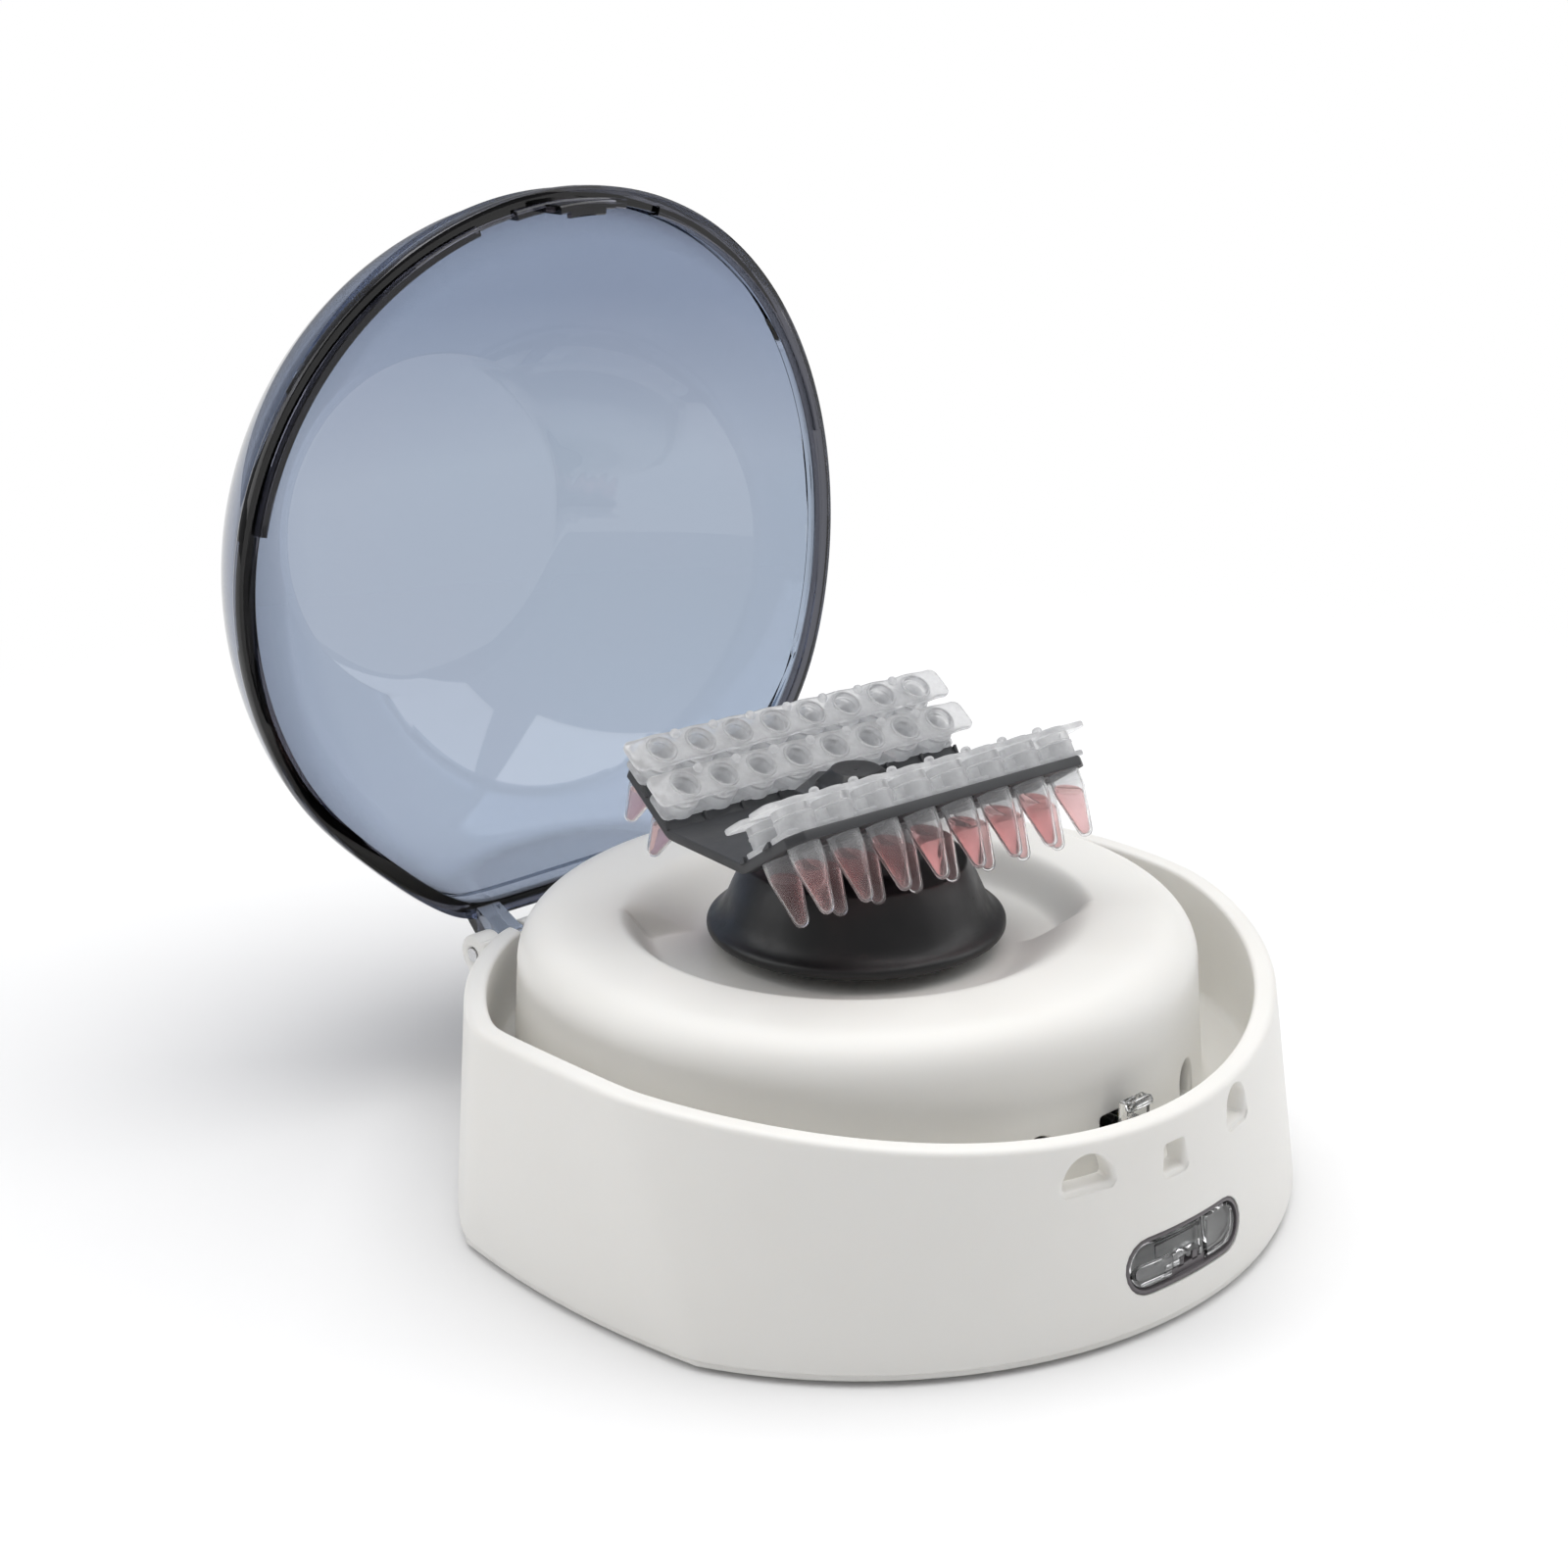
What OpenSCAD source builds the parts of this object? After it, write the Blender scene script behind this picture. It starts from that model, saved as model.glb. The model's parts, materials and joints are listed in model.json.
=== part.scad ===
// Mini laboratory centrifuge with a domed swing-up lid and a rotor for four
// eight-tube strips. The lid stands open in the rest position.
// Front (lid latch) faces -Y, lid hinge is at +Y, rotor axis is Z at X = Y = 0,
// and Z = 0 is the bench under the rubber feet. Millimetres.

/* [Housing] */
// Outer radius of the housing at bench level
base_r = 87; // [86.5:0.5:88]
// Wall draft, radius lost per millimetre of height
draft = 0.13; // [0.12:0.01:0.14]
// Housing wall thickness
wall_t = 3.2; // [2.8:0.1:3.4]
// Height of the rim at the sides
rim_z = 47; // [46.5:0.25:47.5]
// Radius of the arc that the rim follows, seen from the side
rim_arc_r = 357; // [345:1:370]
// Height of the flat deck on the centre island
deck_z = 54.3; // [54:0.1:54.6]
// Radius of the shallow bowl in the deck
bowl_r = 45.5; // [44:0.5:47]
// Depth of the shallow bowl
bowl_depth = 6.7; // [6:0.1:7]

/* [Lid] */
// Outer radius of the lid edge
lid_r = 78; // [77.5:0.25:78.5]
// Lid wall thickness
lid_t = 2.2; // [1.8:0.1:2.4]
// Angle the lid stands open at rest
lid_open_angle = 90; // [80:1:95]
// Hinge axis position behind the rotor axis
hinge_y = 74.8; // [74.5:0.1:75.2]
// Hinge axis height
hinge_z = 32.5; // [32:0.1:33]

/* [Rotor] */
// Height of the rotor plate's flat centre
plate_z = 74.9; // [74.5:0.1:75.2]
// Tilt of the two rotor wings
wing_angle = 34; // [30:1:35]
// Length of the rotor plate
plate_len = 72; // [71.5:0.5:74]
// Slant width of each wing
wing_w = 18.1; // [18:0.1:18.6]
// Rest angle of the rotor about its axis
rotor_rest = -5.2; // [-20:0.1:20]
// Pitch of the tube strips
tube_pitch = 9; // [8.9:0.05:9.1]

/* [Drive] */
// Motor body radius
motor_r = 19; // [17:0.5:20]
// Motor shaft radius
shaft_r = 2.5; // [2:0.1:2.8]

/* [Hidden] */
round_fn = 96;
large_fn = 200; // facets of the largest rounds
$fn = round_fn;

// places [x, y] that mating pieces share
boss_xy = [[65, -33], [-65, -33], [58, 42], [-58, 42]];
foot_xy = [[45, -56], [-45, -56], [40, 50], [-40, 50]];
board_xy = [[-53, -14], [-53, 16], [-27, -14], [-27, 9]];
mount_xy = [[24, 24], [-24, 24], [24, -24], [-24, -24]];
can_screw_xy = [[-11, 0], [11, 0]];
guide_xy = [[-12, -41], [12, -41]];

// ---------- placing helpers ----------
module at(places, z = 0) {
  for (place = places) translate([place[0], place[1], z]) children();
}
// upright cylinders at a list of places
module posts(places, z, radius, height, facets) {
  at(places, z) cylinder(r = radius, h = height, $fn = facets);
}
// upright cylinder on the rotor axis
module disc(z, radius, height, facets = round_fn) {
  translate([0, 0, z]) cylinder(r = radius, h = height, $fn = facets);
}
// cylinders that lie along +X, +Y and -Y from their start point
module rod_right(start, radius, length, facets) {
  translate(start) rotate([0, 90, 0]) cylinder(r = radius, h = length, $fn = facets);
}
module rod_back(start, radius, length, facets) {
  translate(start) rotate([-90, 0, 0]) cylinder(r = radius, h = length, $fn = facets);
}
module rod_front(start, radius, length, facets = round_fn) {
  translate(start) rotate([90, 0, 0]) cylinder(r = radius, h = length, $fn = facets);
}
// box centred on X = 0, with its front lower edge at y, z
module mid_box(y, z, size) { translate([-size[0] / 2, y, z]) cube(size); }
// YZ profile extruded along +X
module extrude_x(x, width) {
  translate([x, 0, 0]) rotate([90, 0, 90]) linear_extrude(width) children();
}
module slab(bottom, top) { translate([-100, -100, bottom]) cube([200, 200, top - bottom]); }

// ---------- outline of the housing, drawn in by inset ----------
module drafted(radius, taper, inset, height) {
  cylinder(r1 = radius - inset, r2 = radius - taper * height - inset, h = height, $fn = large_fn);
}
// large round whose rear edge is reach away from the rotor axis, turned about it
module rear_arc(angle, reach, radius, taper, inset, height) {
  rotate(angle) translate([0, reach - radius, 0]) drafted(radius, taper, inset, height);
}
module outer_form(inset = 0, height = 60) {
  intersection() {
    drafted(base_r, draft, inset, height);
    slab(0, 60);
    // flatter sides
    translate([108, 2, 0]) drafted(190, 0.05, inset, height);
    translate([-108, 2, 0]) drafted(190, 0.05, inset, height);
    // flatter rear corners and rear
    rear_arc(45, 79.5, 150, 0.08, inset, height);
    rear_arc(-45, 79.5, 150, 0.08, inset, height);
    rear_arc(0, 76, 260, 0.083, inset, height);
  }
}
// everything below the curved rim, raised by lift
module below_rim(lift = 0) {
  translate([-110, -6, rim_z - rim_arc_r]) rotate([0, 90, 0])
    cylinder(r = rim_arc_r + lift, h = 220, $fn = 360);
}

// ---------- centre island, a revolved profile with a straight back ----------
island_r = 66.5;
island_t = 2.4;
island_flare = 1.8; // extra radius at the foot of the island
shoulder_r = 57;
shoulder_z = 45.5;
bowl_flat_r = 31;
channel_z = 20;
channel_under_z = 17.6;

function smooth(t) = let(c = max(0, min(1, t))) c * c * (3 - 2 * c);
function island_top(r) = r < bowl_r
  ? deck_z - bowl_depth + bowl_depth * smooth((r - bowl_flat_r) / (bowl_r - bowl_flat_r))
  : deck_z;
// [radius, height] points: centre, bowl, rounded shoulder, foot
function island_profile(inset, foot_z) = concat(
  [[0, foot_z], [0, deck_z - bowl_depth - inset]],
  [for (i = [0:8]) let(r = bowl_flat_r + (bowl_r - bowl_flat_r) * i / 8)
    [r, island_top(r) - inset]],
  [for (i = [0:8]) let(a = i * 90 / 8)
    [shoulder_r + (island_r - inset - shoulder_r) * sin(a),
     shoulder_z + (deck_z - inset - shoulder_z) * cos(a)]],
  [[island_r + island_flare - inset, channel_z], [island_r + island_flare - inset, foot_z]]);

module island_and_channel() {
  difference() {
    union() {
      intersection() {
        rotate_extrude($fn = large_fn) polygon(island_profile(0, 0));
        slab(channel_under_z, 60);
        translate([-90, -90, 0]) cube([180, 155, 60]);
      }
      intersection() {
        outer_form(1.5);
        slab(channel_under_z, channel_z);
      }
    }
    intersection() {
      rotate_extrude($fn = large_fn) polygon(island_profile(island_t, -1));
      translate([-90, -90, -2]) cube([180, 152.6, 62]);
    }
  }
}

// ---------- hinge ----------
hinge_x = 30; // middle of each of the two hinges
knuckle_w = 5.8;
knuckle_starts = [-9.2, 3.4]; // from the middle of a hinge
knuckle_r = 4.2;
lug_w = 5.8;

module hinge_rod(x, radius, length, facets) {
  rod_right([x, hinge_y, hinge_z], radius, length, facets);
}
module knuckle_profile() {
  polygon([[69.5, 22], [69.5, 36], [hinge_y, hinge_z + knuckle_r],
    [hinge_y + knuckle_r, hinge_z], [hinge_y + 3.6, hinge_z - 2.4], [72.5, 22]]);
}
module hinge_knuckles() {
  for (side = [-1, 1]) for (start = knuckle_starts) let(x = side * hinge_x + start)
    intersection() {
      union() {
        extrude_x(x, knuckle_w) knuckle_profile();
        hinge_rod(x, knuckle_r, knuckle_w, 64);
      }
      slab(10, 60);
    }
}
module hinge_pins() color([0.78, 0.78, 0.8]) {
  for (side = [-1, 1]) hinge_rod(side * hinge_x - 9.4, 1.49, 18.8, 48);
}

// ---------- shared places of the button, rocker switch and power jack ----------
btn_z = 13.2;
btn_opening = [31.6, 10.6]; // width, height
rocker_x = 8;
rocker_z = 10.6;
jack_x = -26.5;
jack_z = 13;

// round-ended slot of the button, smaller than the opening by shrink
module button_slot(shrink, front, back) {
  width = btn_opening[0] - shrink;
  height = btn_opening[1] - shrink;
  for (side = [-1, 1])
    rod_back([side * (width - height) / 2, front, btn_z], height / 2, back - front, 64);
  mid_box(front, btn_z - height / 2, [width - height, back - front, height]);
}
// limits a piece to the housing's face at button height
module inside_face(inset) {
  cylinder(r = base_r - draft * btn_z - inset, h = 40, $fn = large_fn);
}
// box centred on the rocker switch in X and Z
module rocker_box(y, size) {
  translate([rocker_x - size[0] / 2, y, rocker_z - size[2] / 2]) cube(size);
}
module jack_rod(y, radius, length, facets) {
  rod_back([jack_x, y, jack_z], radius, length, facets);
}

// ---------- housing ----------
// outer wall with its curved rim and a thicker top lip
module outer_wall() {
  difference() {
    intersection() {
      outer_form(0);
      slab(2.15, 60);
      below_rim(0);
    }
    difference() {
      translate([0, 0, -0.01]) outer_form(wall_t, 60.02);
      difference() {
        below_rim(0.1);
        below_rim(-3);
        outer_form(4.3, 60);
      }
    }
  }
}
// window with straight sides and a round head
module arched_window(angle, y, z, depth, side_height) {
  half_width = 3.4;
  rotate(angle) {
    mid_box(y, z, [2 * half_width, depth, side_height]);
    rod_front([0, y + depth, z + side_height], half_width, depth);
  }
}
module front_windows() {
  // outer wall: half-round, square, arched
  rotate(-15) intersection() {
    mid_box(-90, 31, [9.6, 14, 6]);
    rod_front([0, -76, 31], 5.6, 14);
  }
  rotate(-1.5) mid_box(-90, 28.6, [5.8, 16, 5.4]);
  arched_window(angle = 11.5, y = -90, z = 30.6, depth = 14, side_height = 4.2);
  // island wall
  rotate(-15) mid_box(-72, 27.5, [8, 10, 6.5]);
  mid_box(-72, 26.6, [8.4, 10, 7]);
  arched_window(angle = 24, y = -72, z = 25, depth = 10, side_height = 5);
}
module rear_openings() {
  rocker_box(66, [18.8, 14, 11.4]);
  rocker_box(73.2, [20.8, 6, 13.8]);
  jack_rod(60, 5.6, 30, 64);
  jack_rod(73.2, 8.2, 8, 64);
}
module housing() color([0.93, 0.93, 0.91]) difference() {
  union() {
    outer_wall();
    island_and_channel();
    hinge_knuckles();
    // screw posts for the base plate
    posts(boss_xy, 3.5, 4.6, 15, 48);
    // bosses for the motor bracket
    posts(mount_xy, 40.6, 3.6, 6, 48);
  }
  // shaft hole
  disc(40, 6.5, 12);
  // slots for the lid lugs, and hinge pin bores
  for (side = [-1, 1]) {
    translate([side * hinge_x - 3.3, 66.2, 28]) cube([6.6, 20, 30]);
    hinge_rod(side * hinge_x - 9.6, 1.5, 19.2, 48);
  }
  front_windows();
  button_slot(0, -92, -74);
  rear_openings();
  // screw pilots
  posts(boss_xy, 3, 1.25, 11, 32);
  posts(mount_xy, 40, 1.25, 5.4, 32);
}

// ---------- base ----------
module base_plate() color([0.86, 0.86, 0.85]) difference() {
  union() {
    // flange under the wall, and the step inside it
    intersection() {
      outer_form(0.8);
      slab(1, 2.1);
    }
    intersection() {
      outer_form(wall_t + 0.4);
      slab(1, 3.4);
    }
    // foot seats
    posts(foot_xy, 1, 10.4, 4.2, 64);
    // standoffs for the board
    posts(board_xy, 3, 3, 5, 32);
    // posts for the latch guide
    at(guide_xy, 3) translate([-3, -5, 0]) cube([6, 8, 6]);
  }
  // foot recesses and stem holes
  posts(foot_xy, -1, 8.7, 4.2, 64);
  posts(foot_xy, 0, 2.1, 8, 32);
  // screw holes and head recesses
  posts(boss_xy, 0, 1.7, 6, 32);
  posts(boss_xy, 0, 3.2, 2.6, 32);
  posts(board_xy, 3.2, 1.1, 6, 24);
  posts(guide_xy, 4, 1.1, 6, 24);
  // row of slots under the motor
  for (i = [-3:3]) translate([i * 6 - 1.2, -14, 0]) cube([2.4, 28, 5]);
}

// [radius, height]: pad, groove that grips the plate, barbed stem
foot_profile = [[0, 0.6], [5.2, 0], [7.2, 0], [8.2, 1.2], [8.4, 3.2], [2.0, 3.2],
  [2.0, 5.25], [3.0, 5.4], [2.2, 7.4], [0, 7.6]];
module rubber_feet() color([0.12, 0.12, 0.13]) {
  at(foot_xy) rotate_extrude($fn = 64) polygon(foot_profile);
}
module base_screws() color([0.7, 0.7, 0.72]) {
  at(boss_xy, 1.05) difference() {
    union() {
      cylinder(r = 2.9, h = 1.5, $fn = 48);
      cylinder(r = 1.24, h = 11, $fn = 32);
    }
    // cross recess
    for (angle = [0, 90]) rotate(angle) translate([-1.7, -0.35, -0.1]) cube([3.4, 0.7, 0.9]);
  }
}

// ---------- latch ----------
spring_x = 4.2;
spring_z = 17;
stud_x = 4.8; // studs that carry the interlock switch
stud_z = 28.2;

module button_bezel() color([0.33, 0.33, 0.35]) {
  difference() {
    union() {
      intersection() {
        button_slot(0.2, -88, -78.6);
        inside_face(0.25);
      }
      // flange behind the housing wall
      mid_box(-79, 5.4, [37, 1.6, 12.1]);
    }
    button_slot(1.7, -90, -70);
  }
  // stepped tab at the middle of the lower edge, with a notch in its top
  difference() {
    intersection() {
      union() {
        mid_box(-88, btn_z - 4.6, [9.2, 5.0, 1.7]);
        mid_box(-88, btn_z - 4.6, [5.2, 5.0, 3.4]);
      }
      inside_face(0.35);
    }
    mid_box(-90, btn_z - 2.9, [2.4, 10, 3]);
  }
}
module latch_button() color([0.86, 0.88, 0.9]) {
  difference() {
    union() {
      intersection() {
        button_slot(2.3, -88, -81.9);
        inside_face(0.1);
      }
      mid_box(-82.2, btn_z - 2.5, [14, 24.2, 4.4]);
    }
    // room for the bezel's stepped tab
    mid_box(-90, btn_z - 5, [10, 7.6, 2.5]);
    mid_box(-90, btn_z - 5, [6, 7.6, 4.2]);
    // upright slit right of the middle
    translate([4.2, -90, btn_z - 5]) cube([0.5, 6, 10]);
  }
  // small block that stands in the notch of the tab
  mid_box(-85.1, btn_z - 2.2, [1.6, 3.2, 1.6]);
  // upright inside the island, arm through its window, and riser
  mid_box(-62.2, btn_z - 2.5, [14, 4.2, 24]);
  mid_box(-71.4, 27.4, [7.2, 10, 4.6]);
  mid_box(-72.4, 27.4, [6.4, 2, 10.4]);
  // hook with a sloped top
  difference() {
    mid_box(-73.2, 36.2, [6.4, 1.4, 1.6]);
    translate([-4, -73.2, 37.2]) rotate([45, 0, 0]) cube([8, 2, 2]);
  }
}

// round wire wound along +Z from Z = 0; steps are segments per turn
module coil(radius, wire_r, turns, length, steps = 16, sides = 6) {
  last = turns * steps;
  points = [for (i = [0:last]) for (j = [0:sides - 1])
    let(a = i * 360 / steps, b = j * 360 / sides, reach = radius + wire_r * cos(b))
    [reach * cos(a), reach * sin(a), length * i / last + wire_r * sin(b)]];
  faces = concat(
    [for (i = [0:last - 1]) for (j = [0:sides - 1]) let(next = (j + 1) % sides)
      [i * sides + j, (i + 1) * sides + j, (i + 1) * sides + next]],
    [for (i = [0:last - 1]) for (j = [0:sides - 1]) let(next = (j + 1) % sides)
      [i * sides + j, (i + 1) * sides + next, i * sides + next]],
    [[for (j = [0:sides - 1]) j]],
    [[for (j = [sides - 1:-1:0]) last * sides + j]]);
  polyhedron(points = points, faces = faces, convexity = 6);
}
module latch_springs() color([0.75, 0.75, 0.78]) {
  for (side = [-1, 1]) translate([side * spring_x, -57.6, spring_z]) rotate([-90, 0, 0])
    coil(radius = 2.2, wire_r = 0.28, turns = 6, length = 11.2);
}
module latch_guide() color([0.86, 0.86, 0.85]) difference() {
  union() {
    // upright wall
    mid_box(-46, 9.1, [30, 2.2, 27.9]);
    for (side = [-1, 1]) {
      rod_front([side * spring_x, -45.5, spring_z], 1.6, 7, 32);
      rod_front([side * stud_x, -45.5, stud_z], 1.15, 5, 24);
      // side rails that run forward
      translate([side > 0 ? 7.4 : -10, -64, 9.1]) cube([2.6, 19, 3]);
    }
    // screw tabs
    at(guide_xy, 9.05) translate([-3, -5, 0]) cube([6, 8, 1.6]);
  }
  // opening for the switch terminals
  mid_box(-48, 29.9, [16.8, 6, 2.6]);
  posts(guide_xy, 5, 1.5, 8, 24);
}
module guide_screws() color([0.75, 0.75, 0.77]) {
  posts(guide_xy, 5.5, 1.08, 6, 24);
  posts(guide_xy, 10.7, 2.2, 1.4, 32);
}

// ---------- lid interlock switch ----------
pivot_y = -53.3;
pivot_z = 34.5;
switch_pins_x = [-7, 0, 7];

module interlock_switch() color([0.15, 0.15, 0.17]) difference() {
  union() {
    mid_box(-52.5, 26, [20, 6.4, 10.2]);
    for (x = switch_pins_x) translate([x - 0.4, -46.2, 30.2]) cube([0.8, 5, 2]);
    // ears for the lever pivot
    for (x = [-9.6, -5.2]) translate([x, -54.3, 33.2]) cube([2.2, 2, 2.6]);
  }
  rod_right([-12, pivot_y, pivot_z], 0.62, 11, 24);
  for (side = [-1, 1]) rod_front([side * stud_x, -45, stud_z], 1.2, 8, 24);
}
module interlock_lever() color([0.8, 0.8, 0.82]) {
  rod_right([-10.2, pivot_y, pivot_z], 0.57, 8, 24);
  translate([-7.1, pivot_y, pivot_z]) rotate([-20, 0, 0]) {
    translate([0, -0.55, -9.6]) cube([1.6, 0.5, 9.7]);
    translate([0, -0.55, -10.4]) cube([1.6, 1.2, 1.2]);
  }
}

// ---------- rear switch and power jack ----------
rocker_pivot_y = 71.2;
rocker_pin_x = 4; // terminals either side of the switch middle

module rocker_frame() color([0.1, 0.1, 0.11]) difference() {
  union() {
    rocker_box(73.3, [20.4, 2.2, 13.4]);
    rocker_box(62, [18.4, 11.4, 11]);
    for (side = [-1, 1])
      translate([rocker_x + side * rocker_pin_x - 0.4, 56, 8.4]) cube([0.8, 6.2, 4.8]);
  }
  rocker_box(66.6, [15.8, 12, 9.2]);
  posts([[rocker_x, rocker_pivot_y]], rocker_z - 5.3, 1.05, 10.6, 32);
}
module rocker() color([0.13, 0.13, 0.14]) {
  translate([rocker_x, rocker_pivot_y, rocker_z]) rotate(8) {
    disc(-5.2, 0.98, 10.4, 32);
    translate([0, 0, -4.35]) linear_extrude(8.7)
      polygon([[-3, -1.6], [-7.05, 1.8], [-7, 5], [0, 3.6], [7, 5], [7.05, 1.8], [3, -1.6]]);
  }
}
module power_jack() color([0.1, 0.1, 0.11]) {
  difference() {
    union() {
      jack_rod(73.3, 7.9, 2.2, 64);
      jack_rod(61, 5.45, 12.4, 64);
    }
    jack_rod(64, 2.9, 14, 48);
  }
  // centre pin
  jack_rod(63.8, 1, 10, 32);
}

// ---------- motor ----------
can_z = 12; // joint between the end cap and the can
motor_lead_y = 2.8;

module motor_can() color([0.72, 0.73, 0.75]) difference() {
  disc(can_z, motor_r, 24.4);
  // hollow, less the bearing housing under the top
  difference() {
    disc(11, motor_r - 1.4, 24);
    disc(31.4, 7, 5, 64);
  }
  disc(30, 5.5, 8, 64);
  posts(can_screw_xy, 34, 1.3, 4, 32);
}
module motor_end_cap() color([0.16, 0.16, 0.18]) difference() {
  union() {
    // terminals
    for (side = [-1, 1])
      translate([-21.4, side * motor_lead_y - 1.2, 9]) cube([4.4, 2.4, 2.6]);
    disc(8.2, motor_r, 3.8);
    disc(can_z, motor_r - 1.45, 2);
    disc(6.4, 7, 2);
  }
  disc(7.8, 5.5, 8, 64);
}
module motor_bearings() color([0.6, 0.6, 0.62]) {
  for (z = [8.4, 31.6]) translate([0, 0, z]) difference() {
    cylinder(r = 5.45, h = 4, $fn = 64);
    disc(-1, shaft_r + 0.05, 6, 64);
  }
}
module motor_bracket() color([0.7, 0.71, 0.73]) difference() {
  mid_box(-31, 36.5, [62, 62, 1.6]);
  disc(36, 8, 3, 64);
  posts(can_screw_xy, 36, 1.7, 3, 32);
  posts(mount_xy, 36, 3.6, 3, 48);
}
module motor_screws() color([0.75, 0.75, 0.77]) {
  posts(can_screw_xy, 33, 1.28, 5.12, 32);
  posts(can_screw_xy, 38.12, 2.6, 1.4, 32);
}
module mount_grommets() color([0.1, 0.1, 0.1]) {
  at(mount_xy) difference() {
    union() {
      disc(34.4, 5.6, 2.08, 48);
      disc(36.4, 3.55, 1.8, 48);
      disc(38.12, 5.6, 2.46, 48);
    }
    disc(33, 1.7, 9, 32);
  }
}
module bracket_screws() color([0.75, 0.75, 0.77]) {
  posts(mount_xy, 32.8, 3.4, 1.58, 48);
  posts(mount_xy, 32.8, 1.24, 12, 32);
}
module motor_shaft() color([0.8, 0.8, 0.82]) difference() {
  disc(8.3, shaft_r, 72, 64);
  // hole for the knob's screw
  disc(70, 1.25, 12, 32);
}
module motor_armature() color([0.5, 0.32, 0.16]) difference() {
  union() {
    // core with five radial slots
    difference() {
      disc(15.5, 15.8, 12);
      for (angle = [0:72:359]) rotate(angle) translate([7.5, -1, 15]) cube([10, 2, 14]);
    }
    disc(13, 5, 2.5, 48);
    disc(27.5, 5, 3.4, 48);
  }
  disc(12, shaft_r + 0.01, 20, 64);
}

// ---------- electronics ----------
part_z = 9.7; // underside of the parts on the board

module control_board() color([0.05, 0.35, 0.18]) difference() {
  translate([-57, -20, 8.05]) cube([34, 42, 1.6]);
  posts(board_xy, 7, 1.6, 4, 24);
}
// plain blocks on the board: [x, y], size
board_blocks = [
  [[-46, -6], [9, 7, 2]],
  [[-36, -10], [7, 5, 6]],
  [[-49, 14], [10, 7.8, 3.4]],
  [[-46, -19.8], [9, 7, 3.4]]];
module board_parts() color([0.15, 0.15, 0.18]) {
  for (block = board_blocks) at([block[0]], part_z) cube(block[1]);
  posts([[-36, 5]], part_z, 4, 11, 48);
  posts([[-52, 6]], part_z, 3.2, 8, 48);
  // block with two sockets in its rear face
  translate([-31.5, 12, part_z]) difference() {
    cube([8.2, 9.8, 6.5]);
    for (x = [2.9, 7]) translate([x - 0.9, 8, 2.4]) cube([1.8, 3, 1.8]);
  }
}
module board_screws() color([0.75, 0.75, 0.77]) {
  posts(board_xy, 4, 1.08, 6, 24);
  posts(board_xy, 9.7, 2.2, 1.4, 32);
}

// an insulated lead through a list of corner points, with rounded corners
lead_r = 0.75;
module lead(points) {
  for (i = [0:len(points) - 2])
    let(run = points[i + 1] - points[i], length = norm(run))
    translate(points[i]) {
      rotate([0, acos(run[2] / length), atan2(run[1], run[0])])
        cylinder(r = lead_r, h = length, $fn = 20);
      if (i > 0) sphere(r = lead_r, $fn = 20);
    }
}
module motor_leads() color([0.75, 0.1, 0.1]) {
  for (y = [-motor_lead_y, motor_lead_y])
    lead([[-20.5, y, 11.65], [-20.5, y, 15.6], [-25.6, y, 15.6], [-25.6, y, 9.7]]);
}
module jack_leads() color([0.1, 0.1, 0.1]) {
  for (x = [-28.6, -24.5]) lead([[x, 60.95, jack_z], [x, 21.85, jack_z]]);
}
module switch_leads() color([0.1, 0.1, 0.1]) {
  z = 10.8;
  for (i = [0, 1])
    let(start_x = rocker_x + (2 * i - 1) * rocker_pin_x, end_x = -42 - 4 * i, y = 40 + 4 * i)
    lead([[start_x, 55.95, z], [start_x, y + 3, z], [start_x - 3, y, z],
      [end_x + 3, y, z], [end_x, y - 3, z], [end_x, 21.85, z]]);
}
module interlock_leads() color([0.15, 0.3, 0.6]) {
  top_z = 31.2;
  low_z = 11.4;
  for (i = [0, 1])
    let(start_x = switch_pins_x[i], end_x = -39.5 - 4 * i, y = -34 + 3 * i)
    lead([[start_x, -41.15, top_z], [start_x, y - 2, top_z], [start_x, y, 29],
      [start_x, y, low_z + 3], [start_x - 3, y, low_z], [end_x + 2.5, y, low_z],
      [end_x, y + 2.5, low_z], [end_x, -19.85, low_z]]);
}

// ---------- lid, drawn closed and then swung open ----------
lid_rear = 70.3; // rotor axis to the flat rear
lid_corner = 77.2; // rotor axis to the flats across the rear corners
dome_z = 45; // foot of the dome
dome_rise = 66;
crown_r = 38;
crown_rise = 3.4;
lip_r = 76.5;
lip_inner_r = 74.7;

// everything in front of a rear flat, turned about the rotor axis
module in_front_of(angle, reach) {
  rotate(angle) translate([-150, -150, -20]) cube([300, 150 + reach, 200]);
}
module lid_flats(inset) {
  intersection() {
    in_front_of(0, lid_rear - inset);
    in_front_of(45, lid_corner - inset);
    in_front_of(-45, lid_corner - inset);
  }
}
function dome_height(r, radius, rise) =
  rise * pow(sin(acos(min(1, pow(max(r, 0) / radius, 0.875)))), 1.1429);
// [radius, height] points: straight edge, dome, then a shallow crown
function dome_profile(inset) = let(radius = lid_r - inset, rise = dome_rise - inset) concat(
  [[0, 20], [radius, 20], [radius, dome_z]],
  [for (i = [1:14]) let(r = radius - (radius - crown_r) * pow(i / 14, 1.6))
    [r, dome_z + dome_height(r, radius, rise)]],
  [for (i = [1:4]) let(r = crown_r * (1 - i / 4))
    [r, dome_z + dome_height(crown_r, radius, rise) + crown_rise * (1 - pow(r / crown_r, 2))]]);

module lid_solid(inset) {
  intersection() {
    rotate_extrude($fn = large_fn) polygon(dome_profile(inset));
    lid_flats(inset);
  }
}
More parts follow.
